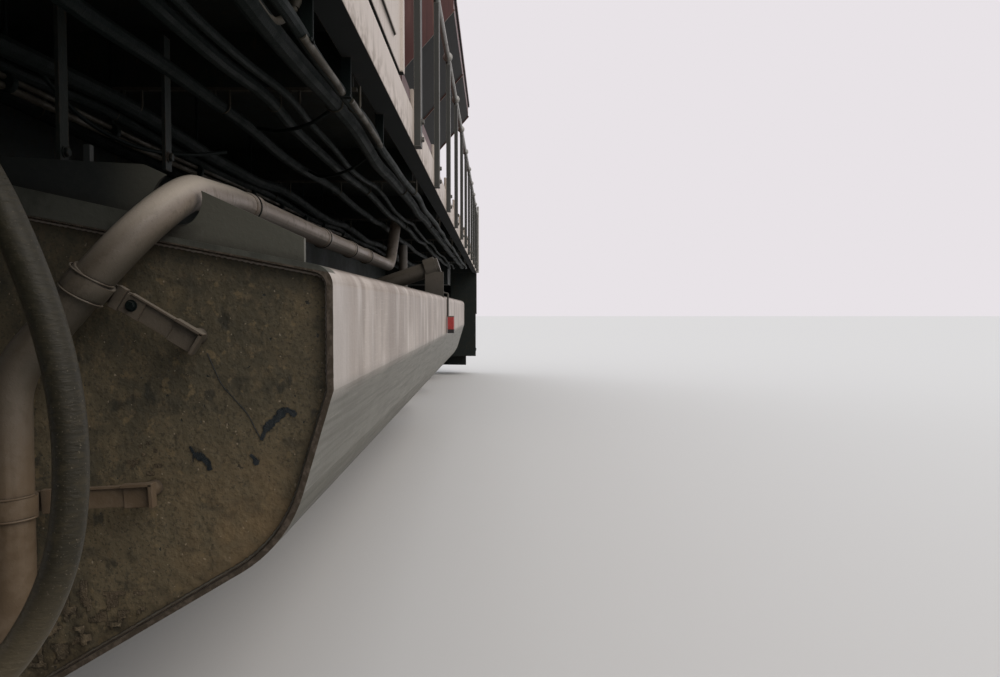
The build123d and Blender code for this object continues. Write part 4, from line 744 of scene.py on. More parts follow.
class Shape:
    """Plates, bars, tubes and turned forms gathered into one mesh."""

    def __init__(self):
        self.mesh = bmesh.new()

    def block(self, low, high):
        """A plate or block between two corners."""
        spans = [sorted(pair) for pair in zip(low, high)]
        at = [self.mesh.verts.new((x, y, z)) for z in spans[2] for y in spans[1] for x in spans[0]]
        for face in ((0, 2, 3, 1), (4, 5, 7, 6), (0, 1, 5, 4), (2, 6, 7, 3), (0, 4, 6, 2), (1, 3, 7, 5)):
            self.mesh.faces.new([at[i] for i in face])

    def skin(self, rings):
        """Walls from ring to ring of points, with both ends closed."""
        rings = [[self.mesh.verts.new(p) for p in ring] for ring in rings]
        self.mesh.faces.new(rings[0][::-1])
        self.mesh.faces.new(rings[-1])
        for low, high in zip(rings, rings[1:]):
            for i in range(len(low)):
                j = (i + 1) % len(low)
                self.mesh.faces.new((low[i], low[j], high[j], high[i]))

    def plate(self, outline, push):
        """A flat outline of 3-D points, pushed along a vector."""
        self.skin([outline, [Vector(p) + Vector(push) for p in outline]])

    def tube(self, line, radius, sides=12):
        """A round bar, tube or bead along a line. radius is one number or one for each point."""
        line = [Vector(p) for p in line]
        radii = radius if isinstance(radius, (list, tuple)) else [radius] * len(line)
        aside, rings = None, []
        for i, (at, r) in enumerate(zip(line, radii)):
            ahead = (line[min(i + 1, len(line) - 1)] - line[max(i - 1, 0)]).normalized()
            aside = ahead.orthogonal() if aside is None else aside - ahead * aside.dot(ahead)
            aside.normalize()
            up = ahead.cross(aside)
            rings.append([at + (aside * math.cos(t) + up * math.sin(t)) * r for t in turns(sides)])
        self.skin(rings)

    def turned(self, base, axis, profile, sides=24):
        """A form turned round an axis, from (distance along it, radius) pairs, with flat ends."""
        base, axis = Vector(base), Vector(axis).normalized()
        aside = axis.orthogonal().normalized()
        up = axis.cross(aside)
        self.skin([[base + axis * d + (aside * math.cos(t) + up * math.sin(t)) * r for t in turns(sides)]
                   for d, r in profile])

    def bolt(self, seat, out, across=0.024):
        """A hexagon bolt head on its washer, standing on a surface that faces out."""
        r = across / 2
        self.turned(seat, out, [(-0.001, r * 1.35), (r * 0.22, r * 1.35), (r * 0.28, r * 1.28)], 16)
        self.turned(seat, out, [(0, r * 1.1), (r * 0.85, r * 1.1), (r * 1.05, r * 0.9)], 6)

    def ring(self, low, high, radius, corner_radius):
        """A bar round the upright rectangle between two opposite corners."""
        corners = [low, (high[0], high[1], low[2]), high, (low[0], low[1], high[2])]
        start = (Vector(corners[0]) + Vector(corners[-1])) / 2
        self.tube(rounded_line([start, *corners, start], [corner_radius] * 4, 5), radius, 8)

    def done(self, name, finish_name, slot, body="locomotive", bevel=0.0, smooth_deg=35):
        """The finished piece, riding on its body."""
        bmesh.ops.recalc_face_normals(self.mesh, faces=self.mesh.faces)
        data = bpy.data.meshes.new(name)
        self.mesh.to_mesh(data)
        self.mesh.free()
        data.materials.append(materials[finish_name])
        data.shade_smooth()
        data.set_sharp_from_angle(angle=math.radians(smooth_deg))
        piece = placed(name, data)
        if bevel:
            soften(piece, bevel, 1)
        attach(piece, body)
        return piece


# The tank's seams and dirt

def tank_edge(x, inset):
    """The line round the tank's section at x, drawn in by inset, from the middle of its top and back there."""
    half = [(0, tank_crown[1] - inset), (tank_crown[0], tank_crown[1] - inset),
            (tank_shoulder[0] - inset, tank_shoulder[1] - inset), (tank_knuckle[0] - inset, tank_knuckle[1]),
            (tank_bilge[0] - inset, tank_bilge[1] + inset * 0.3), (tank_floor[0], tank_floor[1] + inset),
            (0, tank_floor[1] + inset)]
    radii = [0.1, shoulder_radius - inset, 0.05, bilge_radius, 0.1]
    right = rounded_line([(x, y, z) for y, z in half], radii)
    return right + [Vector((x, -p.y, p.z)) for p in reversed(right[1:-1])]


def tank_seams():
    """The fillet welds inside the tank's rims, the front one rippled as it was laid."""
    rng = random.Random(4)
    seams = Shape()
    bead = evenly(tank_edge(plate_front + 0.002, tank_wrapper + 0.001), 0.0055)
    seams.tube(bead, [0.0052 + 0.0011 * (n % 2) + rng.uniform(-0.0004, 0.0006) for n in range(len(bead))], 8)
    seams.tube(evenly(tank_edge(tank_rear + tank_lip - 0.002, tank_wrapper + 0.001), 0.02), 0.006, 8)
    seams.done("tank_welds", "tank_enamel", "tank_paint", smooth_deg=80)


def inside_tank_end(y, z, margin):
    """Whether a place on the end plate is inside its rim by a margin."""
    y = abs(y)
    fall = (tank_shoulder[1] - tank_crown[1]) / (tank_shoulder[0] - tank_crown[0])
    top = tank_crown[1] + max(0.0, y - tank_crown[0]) * fall
    if z < tank_floor[1] + margin or z > top - margin or y > tank_shoulder[0] - margin:
        return False
    for low, high, slope in ((tank_floor, tank_bilge, 1.9), (tank_bilge, tank_knuckle, 1.05)):
        if z < high[1]:
            return y < low[0] + (z - low[1]) / (high[1] - low[1]) * (high[0] - low[0]) - margin * slope
    return y < tank_shoulder[0] - margin * 1.05


def clamped(value):
    """A value kept between 0 and 1."""
    return max(0.0, min(1.0, value))


def caked_mud():
    """Dried mud on the tank's front plate: a thin uneven crust with clods, thicker low down and inboard."""
    step, y_from, y_to = 0.0072, -1.50, 1.54
    crust = bmesh.new()
    grid = {}
    for i in range(int((y_to - y_from) / step)):
        for j in range(int((tank_crown[1] - tank_floor[1]) / step)):
            y, z = y_from + i * step, tank_floor[1] + j * step
            if not inside_tank_end(y, z, 0.025):
                continue
            low = clamped((1.0 - z) / 0.5)
            inboard = clamped((1.15 - abs(y)) / 0.35)
            outer = clamped((abs(y) - 1.22) / 0.2)
            cloud = noise.noise(Vector((y * 4.1, z * 4.1, 2.0)))
            cover = cloud * 0.6 + 0.55 * low + 0.20 * inboard - 0.38 - 0.4 * outer
            grain = noise.noise(Vector((y * 45, z * 45, 7.0))) + 0.6 * noise.noise(Vector((y * 95, z * 95, 3.0)))
            height = min(0.018, max(0.0, cover * 0.010 + grain * 0.015 * clamped(cover * 2.6 + 0.1)))
            if height > 0.0006:
                grid[i, j] = crust.verts.new((plate_front + height - 0.0005, y, z))
    for (i, j), v in grid.items():
        others = [grid.get(k) for k in ((i + 1, j), (i + 1, j + 1), (i, j + 1))]
        if None not in others:
            crust.faces.new((v, *others))
    bmesh.ops.delete(crust, geom=[v for v in crust.verts if not v.link_faces], context="VERTS")
    data = bpy.data.meshes.new("caked_mud")
    crust.to_mesh(data)
    crust.free()
    data.materials.append(materials["dried_mud"])
    data.shade_smooth()
    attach(placed("caked_mud", data), "locomotive")


def pipe_couplings():
    """Sleeved couplings on the pipe: a proud sleeve with a dark rubber ring at its end."""
    sleeves, rings = Shape(), Shape()
    for x in coupling_xs:
        # Each form's start from the coupling's end, and its (distance, height above the pipe) pairs
        for shape, start, profile in (
            (sleeves, -0.05, [(0, 0.001), (0.004, 0.005), (0.048, 0.006), (0.052, 0.001)]),
            (sleeves, 0.008, [(0, 0.001), (0.003, 0.004), (0.018, 0.004), (0.022, 0.001)]),
            (rings, 0.001, [(0, 0.003), (0.001, 0.0065), (0.006, 0.0065), (0.007, 0.003)]),
        ):
            shape.turned((x + start, pipe_line_y, pipe_line_z), (1, 0, 0),
                         [(d, pipe_radius + h) for d, h in profile], 32)
    sleeves.done("coupling_sleeves", "pipe_paint", "pipe_taupe")
    rings.done("coupling_seals", "cable_jacket", "cable_black")


def pipe_clamps():
    """What the two clamps of the drop pipe have besides their bars: folded edges, a stop at the tip, lugs and bolts."""
    fittings, bolts = Shape(), Shape()
    for middle, angle, reach in (clamp_upper, clamp_lower):
        a = math.radians(angle)
        along, up = Vector((0, math.cos(a), math.sin(a))), Vector((0, -math.sin(a), math.cos(a)))
        centre = Vector(middle)
        face = clamp_face_x - centre.x
        # The bar's folded upper edge, the pad at its tip with a rim on two sides, the lug by the band and its
        # seat, as spans along the bar, across it and out from its face
        for (a0, a1), (u0, u1), (x0, x1) in (
            ((0.060, reach - 0.050), (0.0165, 0.0205), (-0.008, 0.006)),
            ((reach - 0.052, reach + 0.002), (-0.0205, 0.0215), (-0.004, 0.003)),
            ((reach - 0.052, reach + 0.004), (0.0180, 0.0235), (-0.006, 0.014)),
            ((reach - 0.003, reach + 0.004), (-0.0205, 0.0220), (-0.006, 0.014)),
            ((0.034, 0.052), (-0.0215, 0.0215), (-0.006, 0.008)),
            ((0.052, 0.092), (-0.0195, 0.0165), (-0.002, 0.003)),
        ):
            fittings.plate([centre + along * p + up * q + Vector((face + x0, 0, 0))
                            for p, q in ((a0, u0), (a1, u0), (a1, u1), (a0, u1))], (x1 - x0, 0, 0))
        for side in (-1, 1):
            edge = [centre + Vector((clamp_band_radius * math.cos(t), 0, 0)) + along * (clamp_band_radius * math.sin(t))
                    + up * (side * 0.0195) for t in [n * 0.17 for n in range(-9, 10)]]
            fittings.tube(edge, 0.0020, 8)
        bolts.bolt(centre + along * 0.070 + Vector((face + 0.003, 0, 0)), (1, 0, 0), 0.016)
    fittings.done("clamp_fittings", "pipe_paint", "pipe_taupe", bevel=0.0012)
    bolts.done("clamp_bolts", "cable_jacket", "underframe_black")


def plate_marks():
    """The crooked smear of oil on the tank's front plate, and the long scratch that runs down to it."""
    smear, scratch = Shape(), Shape()
    face = plate_front + 0.0006
    # Each blot's (y, z, half its width) points
    for blot in (
        [(1.418, 0.880, 0.004), (1.428, 0.902, 0.009), (1.441, 0.915, 0.007), (1.452, 0.925, 0.008),
         (1.462, 0.937, 0.005), (1.474, 0.934, 0.006), (1.484, 0.926, 0.002)],
        [(1.397, 0.852, 0.003), (1.406, 0.843, 0.006), (1.409, 0.832, 0.002)],
        [(1.283, 0.868, 0.002), (1.293, 0.852, 0.007), (1.307, 0.846, 0.006), (1.318, 0.834, 0.005),
         (1.320, 0.822, 0.002)],
    ):
        rng = random.Random(len(blot))
        points = eased_line([(face, y, z) for y, z, _ in blot], 5)
        broad = [blot[min(n // 5, len(blot) - 1)][2] * rng.uniform(0.7, 1.25) for n in range(len(points))]
        for a, b, wa, wb in zip(points, points[1:], broad, broad[1:]):
            across = (b - a).cross(Vector((1, 0, 0))).normalized()
            smear.plate([a - across * wa, b - across * wb, b + across * wb, a + across * wa], (0.0009, 0, 0))
    line = [(1.318, 1.045), (1.333, 1.010), (1.345, 0.985), (1.368, 0.958), (1.392, 0.930), (1.405, 0.905),
            (1.418, 0.880)]
    scratch.tube(eased_line([(face, y, z) for y, z in line], 6), 0.0007, 6)
    smear.done("oil_smear", "oil_film", "tank_paint", smooth_deg=80)
    scratch.done("plate_scratch", "oil_film", "tank_paint")


def foreground_hose():
    """The rubber drain hose, bowed out past the tank's corner between its two fittings."""
    data = bpy.data.curves.new("drain_hose_dressed", "CURVE")
    data.dimensions = "3D"
    line = data.splines.new("NURBS")
    line.points.add(len(hose_route) - 1)
    for point, at in zip(line.points, hose_route):
        point.co = (*at, 1.0)
    line.order_u = 3
    line.use_endpoint_u = True
    line.resolution_u = 16
    data.bevel_depth = hose_diameter / 2
    data.bevel_resolution = 8
    data.use_fill_caps = True
    data.materials.append(materials["hose_rubber"])
    piece = placed("drain_hose_dressed", data)
    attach(piece, "locomotive")
    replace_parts(piece, "drain_hose")


# Cables, pipes and small things under the walkway

def cable_runs():
    """Cables and hoses under the walkway on both sides, sagging a little from hanger to hanger."""
    rng = random.Random(11)
    cables = Shape()
    for y, z, radius, sag in loose_runs:
        for side in both_sides:
            points = []
            x = cable_front
            while x > cable_rear:
                fraction = (x / hanger_pitch) % 1.0
                drop = sag * 4 * fraction * (1 - fraction)
                wander = rng.uniform(-0.006, 0.006)
                points.append((x, side * (y + wander), z - drop + rng.uniform(-0.003, 0.003)))
                x -= hanger_pitch / 5
            points.append((cable_rear, side * y, z))
            cables.tube(eased_line(points, 3), radius, 10)
    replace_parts(cables.done("cable_runs", "cable_jacket", "cable_black"), "underdeck_cables")


def cable_hangers():
    """Flat steel hangers from the cross-bearers, with a strap under each cable."""
    hangers = Shape()
    for n in range(-4, 3):
        x = n * hanger_pitch
        for side in both_sides:
            for y, z, radius, _ in loose_runs:
                r = radius + 0.002
                loop = [(x + 0.006, side * (y + r * math.cos(t)), z + r * math.sin(t)) for t in turns(16, 1)[8:]]
                hangers.tube([(x + 0.006, side * (y - r), z + 0.05), *loop, (x + 0.006, side * (y + r), z + 0.05)],
                             0.0035, 6)
            hangers.block((x - 0.002, side * 0.62, 1.698), (x + 0.014, side * 1.50, 1.706))
    hangers.done("cable_hangers", "conduit_zinc", "underframe_black")


def bright_conduits():
    """The pale pair of conduits that runs back over the tank, tied together, and the stub tubes by the sill."""
    pair, ties = Shape(), Shape()
    upper = eased_line([(x, y, z + 0.009) for x, y, z in conduit_pair], 12)
    lower = eased_line([(x, y - 0.004, z - 0.010) for x, y, z in conduit_pair], 12)
    stubs = [
        [(2.60, 1.455, 1.655), (2.26, 1.452, 1.655), (2.14, 1.452, 1.655), (2.09, 1.46, 1.672), (2.075, 1.48, 1.70)],
        [(2.10, 1.50, 1.640), (1.95, 1.50, 1.640), (1.80, 1.50, 1.643), (1.66, 1.492, 1.650), (1.62, 1.48, 1.67)],
        [(1.60, 1.50, 1.650), (1.40, 1.50, 1.650), (1.20, 1.505, 1.640), (1.08, 1.50, 1.643), (1.04, 1.48, 1.675)],
    ]
    for side in both_sides:
        for line, radius in ((upper, 0.0065), (lower, 0.0085)):
            pair.tube([(p.x, p.y * side, p.z) for p in line], radius, 10)
        for x in (1.956, 1.765, 1.513, 1.196, 0.92, 0.33, -0.10, -0.55, -1.0, -1.6, -2.2, -2.8):
            at = min(upper, key=lambda p: abs(p.x - x))
            ties.turned((x - 0.009, at.y * side, at.z - 0.010), (1, 0, 0),
                        [(0, 0.020), (0.003, 0.0215), (0.015, 0.0215), (0.018, 0.020)], 14)
            ties.tube([(x, at.y * side, at.z + 0.005), (x, at.y * side, platform_top - 0.014)], 0.004, 6)
        for stub in stubs:
            x, y, z = stub[-1]
            pair.tube([(p.x, p.y * side, p.z) for p in eased_line(stub, 6)], 0.008, 12)
            pair.turned((x, y * side, z), (-0.2, 0.1 * side, 1), [(0, 0.008), (0.012, 0.012), (0.018, 0.012)], 16)
        for x in (2.06, 1.66, 1.10):
            ties.block((x - 0.004, side * 1.487, 1.640), (x + 0.004, side * 1.512, sill_bottom + 0.10))
            ties.block((x - 0.014, side * 1.487, 1.640), (x + 0.014, side * 1.512, 1.646))
    # Thin leads that cross from the outer runs to the inner ones
    for lead in (
        [(1.50, 1.43, 1.650), (1.46, 1.36, 1.622), (1.40, 1.27, 1.618), (1.34, 1.19, 1.640)],
        [(1.95, 0.905, 1.640), (1.80, 0.93, 1.560), (1.66, 0.99, 1.522), (1.52, 1.06, 1.530), (1.40, 1.12, 1.560)],
        [(0.90, 1.44, 1.650), (0.82, 1.35, 1.612), (0.72, 1.24, 1.606), (0.64, 1.17, 1.640)],
    ):
        ties.tube(eased_line(lead, 8), 0.005, 8)
    pair.done("conduits", "conduit_zinc", "underframe_black")
    ties.done("conduit_ties", "cable_jacket", "cable_black")


def pipe_hangers():
    """Flat hangers from the platform to the tank's support plate, beside the pipe's bend."""
    hangers = Shape()
    for x, y, low in ((2.06, 1.028, 1.400), (1.85, 1.142, 1.430), (2.06, 0.70, 1.40)):
        for side in both_sides:
            hangers.block((x - 0.016, side * (y - 0.004), low), (x + 0.016, side * (y + 0.004), 1.72))
            hangers.bolt((x, side * (y + 0.004), low + 0.030), (0, side, 0), 0.018)
    hangers.done("pipe_hangers", "underframe_paint", "underframe_black", bevel=0.001)


def sill_details():
    """Bolts at the feet of the handrail posts."""
    bolts = Shape()
    for n in range(post_count):
        for z in (sill_bottom + 0.030, sill_bottom + 0.095):
            for side in both_sides:
                bolts.bolt((first_post_x - n * post_pitch, side * (half_width + post_proud), z), (0, side, 0), 0.020)
    bolts.done("post_bolts", "rail_paint", "rail_grey")


# The rest of the locomotive

def coil_springs():
    """Helical springs between the axle boxes and the bogie frames, each between two seats."""
    steps, helix_turn, coil_radius = 70, 27, 0.058
    for end, middle in bogie_places.items():
        coils = Shape()
        low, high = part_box(f"{end}_springs")
        for x in [middle + a + dx for a in axle_places for dx in (-spring_offset, spring_offset)]:
            for y in (spring_y, -spring_y):
                line = [(x + coil_radius * math.cos(helix_turn * n / steps),
                         y + coil_radius * math.sin(helix_turn * n / steps),
                         low.z + 0.014 + (high.z - low.z - 0.028) * n / steps) for n in range(steps + 1)]
                coils.tube(line, 0.0115, 8)
                for z, up in ((low.z, 1), (high.z, -1)):
                    coils.turned((x, y, z), (0, 0, up), [(0, 0.071), (0.005, 0.071), (0.007, 0.064)], 20)
        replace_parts(coils.done(f"{end}_coils", "spring_steel", "spring_steel", f"{end}_bogie"), f"{end}_springs")


def bogie_fittings():
    """Bolts of the axle-box covers and pedestal ties, sand pipes to the wheels and the brake pipe along each frame."""
    for end, middle in bogie_places.items():
        bolts, pipes = Shape(), Shape()
        for side in both_sides:
            for a in axle_places:
                hub = Vector((middle + a, side * cover_y, axle_z))
                bolts.turned(hub, (0, side, 0), [(-0.002, 0.052), (0.006, 0.050), (0.012, 0.034)], 24)
                for t in turns(6):
                    bolts.bolt(hub + Vector((0.094 * math.cos(t), 0, 0.094 * math.sin(t))), (0, side, 0), 0.024)
                for dx in (-0.25, 0.25):
                    for z in (0.455, 0.62):
                        bolts.bolt((middle + a + dx, side * frame_face_y, z), (0, side, 0), 0.030)
            for x, back in ((-2.49, 0.10), (-1.39, -0.10), (-0.62, 0.10), (0.62, -0.10), (1.39, 0.10), (2.49, -0.10)):
                line = [(middle + x, side * 0.90, 1.02), (middle + x, side * 0.90, 0.52),
                        (middle + x + back, side * 0.86, 0.22), (middle + x + back * 1.3, side * 0.81, 0.15)]
                pipes.tube(rounded_line(line, [0.12, 0.08]), 0.015, 10)
            pipes.tube([(middle + x, side * 1.09, 1.092) for x in (-2.45, -0.4, 0.4, 2.45)], 0.011, 10)
            for x in (-2.3, -1.2, 1.2, 2.3):
                pipes.block((middle + x - 0.02, side * 1.065, 1.078), (middle + x + 0.02, side * 1.115, 1.106))
        bolts.done(f"{end}_bogie_bolts", "cast_steel", "cast_dark", f"{end}_bogie")
        pipes.done(f"{end}_sand_pipes", "underframe_paint", "underframe_black", f"{end}_bogie")


def cab_trim():
    """Gaskets round the panes, window rails, wipers, rain gutters, grab irons and the roof's antenna domes."""
    rubber, steel, bright = Shape(), Shape(), Shape()
    for side in both_sides:
        y, above = side * pane_y, pane_high + 0.025
        for x0, x1 in side_panes:
            rubber.ring((x0, y, pane_low), (x1, y, pane_high), 0.014, 0.05)
            mid = (x0 + x1) / 2
            bright.block((mid - 0.012, side * (pane_y - 0.016), pane_low + 0.01),
                         (mid + 0.012, side * (pane_y + 0.002), pane_high - 0.01))
            bright.tube([(x0 - 0.02, y, above), (x1 + 0.02, y, above)], 0.008, 8)
        rubber.ring((screen_x, side * 0.13, screen_low), (screen_x, side * 1.26, screen_high), 0.014, 0.05)
        # The wiper's spindle, arm and blade
        steel.turned((7.645, side * 0.70, 3.50), (1, 0, 0), [(0, 0.022), (0.02, 0.022), (0.026, 0.014)], 16)
        steel.tube([(7.668, side * 0.70, 3.50), (7.684, side * 0.52, 3.84)], 0.006, 8)
        steel.tube([(7.672, side * 0.38, 3.64), (7.672, side * 0.66, 4.04)], 0.007, 8)
        bright.tube([(4.93, side * 1.556, 4.135), (7.64, side * 1.556, 4.135)], 0.010, 8)
        for x, low, high in ((4.97, 2.10, 3.00), (7.58, 2.10, 2.90)):
            line = [(x, side * 1.55, low), (x, side * 1.588, low), (x, side * 1.588, high), (x, side * 1.55, high)]
            steel.tube(rounded_line(line, [0.03, 0.03], 5), 0.011, 10)
        steel.turned((6.3, side * 0.62, 4.598), (0, 0, 1),
                     [(0, 0.10), (0.02, 0.098), (0.045, 0.075), (0.058, 0.03)], 32)
    grab = [(9.25, -0.10, 2.25), (9.32, -0.10, 2.25), (9.32, -0.10, 3.0), (9.25, -0.10, 3.0)]
    steel.tube(rounded_line(grab, [0.03, 0.03], 5), 0.012, 10)
    rubber.done("window_gaskets", "cable_jacket", "cable_black")
    steel.done("cab_fittings", "lamp_black", "lamp_housing")
    bright.done("window_rails", "horn_alloy", "horn_metal", bevel=0.001)


def fan_sets():
    """Pitched blades in the five fan wells, and the wire guards over them."""
    blades, guards = Shape(), Shape()
    hub_radius, up = 0.105, Vector((0, 0, 1))
    for x, dia, roof in [(x, dia, roof) for xs, dia, roof in fan_wells for x in xs]:
        for t in [turn + 0.2 for turn in turns(8)]:
            out, aside = Vector((math.cos(t), math.sin(t), 0)), Vector((-math.sin(t), math.cos(t), 0))
            rings = []
            for share in (0.0, 0.35, 0.7, 1.0):
                r = hub_radius + (dia / 2 - 0.018 - hub_radius) * share
                chord, pitch = dia * (0.12 + 0.05 * share), math.radians(30 - 14 * share)
                lean = aside * math.cos(pitch) + up * math.sin(pitch)
                across = aside * -math.sin(pitch) + up * math.cos(pitch)
                at = Vector((x, 0, roof - 0.038)) + out * r + aside * (0.03 * share)
                rings.append([at + lean * (chord * u / 2) + across * v for u, v in
                              ((-1, 0.0), (-0.3, 0.007), (0.5, 0.006), (1, 0.0), (0.5, -0.001), (-0.3, 0.001))])
            blades.skin(rings)
        blades.turned((x, 0, roof - 0.022), up, [(0, 0.112), (0.012, 0.105), (0.02, 0.07), (0.022, 0.02)], 32)
        for r in [dia / 14 * k for k in range(1, 7)]:
            guards.tube([(x + r * math.cos(t), r * math.sin(t), roof + 0.070) for t in turns(48, 1)], 0.004, 6)
        for t in turns(16)[:8]:
            reach = Vector((math.cos(t), math.sin(t), 0)) * (dia / 2 + 0.006)
            at = Vector((x, 0, roof + 0.063))
            guards.tube([at - reach, at + reach], 0.005, 6)
    blades.done("fan_blades", "lamp_black", "lamp_housing", smooth_deg=50)
    guards.done("fan_guards", "underframe_paint", "underframe_black")


def hood_fittings():
    """Louvres in the hoods' sides, latches on their fixed panels and lifting eyes along their roofs."""
    louvres, latches = Shape(), Shape()

    def bank(x0, x1, y, z0, z1):
        """Louvres one above another between two heights, and the bar round them."""
        out = math.copysign(0.020, y)
        z = z0
        while z < z1:
            outline = [(x0, y, z + 0.030), (x0, y, z + 0.034), (x0, y + out, z + 0.004), (x0, y + out, z)]
            louvres.plate(outline, (x1 - x0, 0, 0))
            z += louvre_pitch
        louvres.ring((x0, y, z0 - 0.02), (x1, y, z + 0.01), 0.010, 0.02)

    for side in both_sides:
        for n in range(grille_count):
            x1 = grille_front - n * grille_pitch
            bank(x1 - grille_length, x1, side * radiator_side, 2.62, 3.34)
        for x in (0.62, 0.02, -0.58, -3.05, -3.65, -4.25):
            for z in (2.35, 3.10):
                latches.block((x - 0.02, side * panel_side, z - 0.045),
                              (x + 0.02, side * (panel_side + 0.009), z + 0.045))
                latches.turned((x, side * (panel_side + 0.008), z), (0, side, 0),
                               [(0, 0.014), (0.012, 0.014), (0.014, 0.010)], 16)
                latches.block((x - 0.006, side * (panel_side + 0.013), z - 0.04),
                              (x + 0.006, side * (panel_side + 0.023), z + 0.012))
    for x1 in (4.45, 3.80, 3.15, 2.50, 1.85):
        bank(x1 - 0.50, x1, -blower_side, 3.44, 3.80)
    for x in (-4.2, -0.6, 0.5):
        for side in both_sides:
            eye = [(x + dx, side * 0.46, z) for dx, z in
                   ((-0.06, 4.335), (-0.045, 4.395), (0, 4.420), (0.045, 4.395), (0.06, 4.335))]
            latches.tube(eased_line(eye, 5), 0.011, 8)
    louvres.done("louvres", "maroon_enamel", "hood_maroon")
    latches.done("hood_latches", "lamp_black", "lamp_housing", bevel=0.001)


def lamp_faces():
    """The lamps' ribbed glasses and rims, and the plain faces of the number boards."""
    glass, boards, rims = Shape(), Shape(), Shape()
    for x, off, z, s, r in lamp_pairs:
        for y in (-off, off):
            glass.turned((x, y, z), (s, 0, 0), [(0, r), (0.006, r * 0.96), (0.012, r * 0.6), (0.014, r * 0.1)], 32)
            rims.tube([(x + s * 0.002, y + r * 1.04 * math.cos(t), z + r * 1.04 * math.sin(t)) for t in turns(40, 1)],
                      0.006, 8)
    for side in both_sides:
        boards.block((7.715, side * 0.325, 4.315), (7.724, side * 0.735, 4.485))
        rims.ring((7.722, side * 0.318, 4.305), (7.722, side * 0.742, 4.495), 0.008, 0.02)
    glass.done("lamp_glasses", "lamp_glass", "lamp_housing")
    boards.done("number_faces", "board_face", "lamp_housing", bevel=0.001)
    rims.done("lamp_rims", "lamp_black", "lamp_housing")


def end_fittings():
    """Uncoupling levers across both ends and the pilot's bolt rows."""
    levers, bolts = Shape(), Shape()
    for s in (1, -1):
        x = s * lever_x
        for side in both_sides:
            line = [(x, side * y, z) for y, z in
                    ((0.20, 1.125), (0.36, 1.190), (1.12, 1.190), (1.30, 1.190), (1.36, 1.03))]
            levers.tube(rounded_line(line, [0.06, 0.2, 0.2, 0.05], 5), 0.013, 10)
            for y in (0.55, 1.05):
                levers.block((s * (pilot_x - 0.002), side * (y - 0.02), 1.165), (x, side * (y + 0.02), 1.175))
                levers.turned((x, side * (y - 0.018), 1.190), (0, side, 0), [(0, 0.022), (0.036, 0.022)], 16)
            for y in [0.42 + 0.14 * n for n in range(8)]:
                for z in (1.015, 0.640):
                    bolts.bolt((s * pilot_x, side * y, z), (s, 0, 0), 0.024)
    levers.done("cut_levers", "grip_paint", "rail_grey")
    bolts.done("pilot_bolts", "underframe_paint", "underframe_black")


def cushion(name, low, high, squareness=0.36):
    """A crowned cushion that fills a box, with sides that draw in to its piped edge."""
    low, high = Vector(low), Vector(high)
    middle, half = (low + high) / 2, (high - low) / 2
    thin = min(range(3), key=lambda i: half[i])
    first, second = [i for i in range(3) if i != thin]

    def bent(value, power):
        return math.copysign(abs(value) ** power, value)

    def round_it(u, breadth, rise):
        at = Vector(middle)
        at[first] += half[first] * breadth * bent(math.cos(u), squareness)
        at[second] += half[second] * breadth * bent(math.sin(u), squareness)
        at[thin] += half[thin] * rise
        return at

    pad = Shape()
    levels = [math.radians(-80 + 160 * j / 14) for j in range(15)]
    pad.skin([[round_it(u, bent(math.cos(v), 0.45), bent(math.sin(v), 0.75)) for u in turns(40)] for v in levels])
    pad.tube([round_it(u, 0.985, 0.0) for u in turns(80, 1)], 0.005, 6)
    pad.done(name, "seat_vinyl", "seat_vinyl", smooth_deg=80)


def crew_places():
    """The two crew seats, each a vinyl pan, back and head cushion on a steel pedestal, and the desk's instruments."""
    frames, screens = Shape(), Shape()
    for y, name in ((-seat_y, "driver"), (seat_y, "helper")):
        cushion(f"{name}_seat", (6.27, y - 0.23, 2.405), (6.735, y + 0.23, 2.515))
        cushion(f"{name}_back", (6.275, y - 0.215, 2.52), (6.355, y + 0.215, 2.95))
        cushion(f"{name}_head", (6.275, y - 0.15, 2.97), (6.345, y + 0.15, 3.14))
        frames.turned((6.5, y, 2.0), (0, 0, 1), [(0, 0.16), (0.015, 0.16), (0.03, 0.065), (0.38, 0.060)], 24)
        frames.block((6.30, y - 0.20, 2.375), (6.70, y + 0.20, 2.40))
        for off in (-0.08, 0.08):
            frames.tube([(6.30, y + off, 2.39), (6.265, y + off, 3.05)], 0.012, 8)
    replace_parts(frames.done("seat_frames", "lamp_black", "lamp_housing", bevel=0.002), "crew_seats")
    for y in (-1.15, -0.78):
        screens.block((7.30, y - 0.15, 3.302), (7.33, y + 0.15, 3.52))
    # The driver's brake handle
    screens.turned((7.12, -1.30, 3.16), (0, 0, 1),
                   [(0, 0.03), (0.02, 0.03), (0.022, 0.010), (0.11, 0.008), (0.12, 0.02), (0.15, 0.018)], 20)
    screens.done("desk_screens", "lamp_black", "lamp_housing", bevel=0.003)


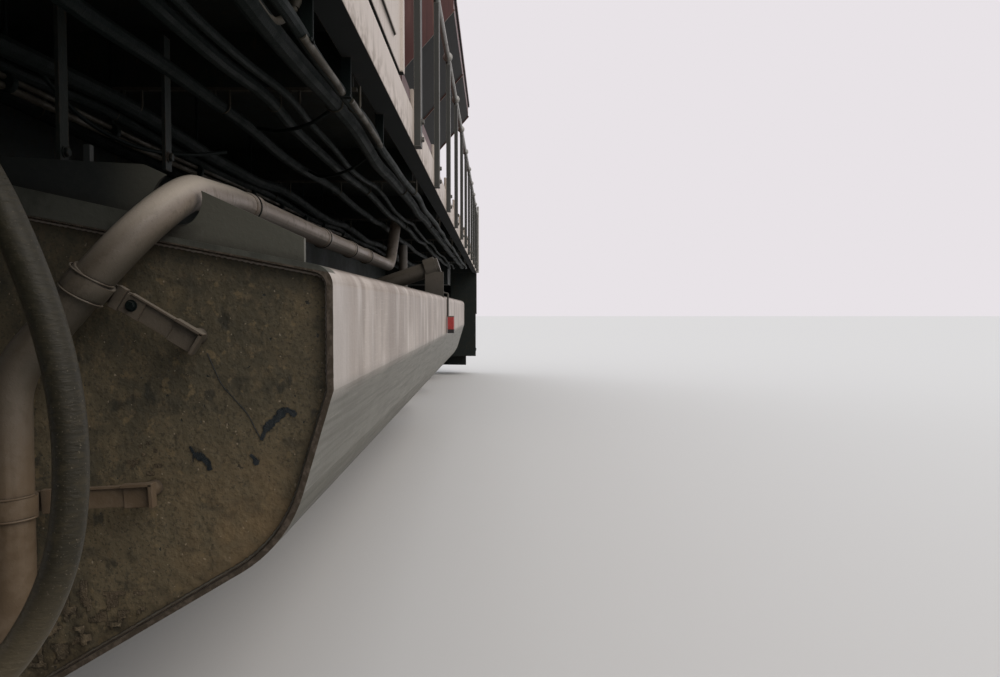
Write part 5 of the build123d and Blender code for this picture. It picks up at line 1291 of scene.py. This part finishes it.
def dress_nodes():
    """A finish for each carried-over node, and softened edges where they show."""
    finish_of = {
        "underframe_black": "underframe_paint", "body_cream": "cream_enamel", "hood_maroon": "maroon_enamel",
        "tank_paint": "tank_enamel", "pipe_taupe": "pipe_paint", "hose_rubber": "hose_rubber",
        "cable_black": "cable_jacket", "wheel_steel": "wheel_steel", "cast_dark": "cast_steel",
        "spring_steel": "spring_steel", "rail_grey": "rail_paint", "glass": "window_glass",
        "seat_vinyl": "seat_vinyl", "desk_grey": "desk_paint", "lamp_housing": "lamp_black", "horn_metal": "horn_alloy",
    }
    own_finish = {"fuel_fillers": "filler_paint", "deck": "walkway_paint", "end_rails": "grip_paint"}
    edge_of = {"fuel_tank": 0.004, "side_sills": 0.003, "left_rail": 0.003, "right_rail": 0.003,
               "equipment_cabinet": 0.006, "engine_hood": 0.006, "radiator_hood": 0.006, "blower_hood": 0.006,
               "nose": 0.012, "cab_roof": 0.008, "cab_left_wall": 0.006, "cab_right_wall": 0.006,
               "front_bogie_frame": 0.010, "rear_bogie_frame": 0.010, "front_coupler": 0.008, "rear_coupler": 0.008,
               "tank_pipe": 0.0015, "lamps": 0.004, "deck": 0.003}
    for part in frame["record"]["subparts"]:
        name = part["node"]
        node = nodes[name]
        node.data.materials.clear()
        node.data.materials.append(materials[own_finish.get(name, finish_of[part["material_slot"]])])
        if name in edge_of:
            # The node's triangles are joined into its real flat faces before its edges are rounded
            weld = node.modifiers.new("weld", "WELD")
            weld.merge_threshold = 0.00002
            flat = node.modifiers.new("flat", "DECIMATE")
            flat.decimate_type = "DISSOLVE"
            flat.angle_limit = math.radians(0.5)
            soften(node, edge_of[name])


def main():
    bpy.context.scene.view_settings.view_transform = "Standard"
    place_camera()
    set_sky()
    set_lamp("soft_front", 1.1, (-0.45, -0.65, -0.62), 40, "FFF6EC")
    set_lamp("soft_rear", 0.5, (0.6, 0.5, -0.62), 60, "E8F0FF")
    lay_floor()
    dress_nodes()
    for make in (foreground_hose, tank_seams, caked_mud, pipe_couplings, pipe_clamps, plate_marks, pipe_hangers,
                 cable_runs, cable_hangers, bright_conduits, sill_details, coil_springs, bogie_fittings, cab_trim,
                 fan_sets, hood_fittings, lamp_faces, end_fittings, crew_places):
        make()


main()
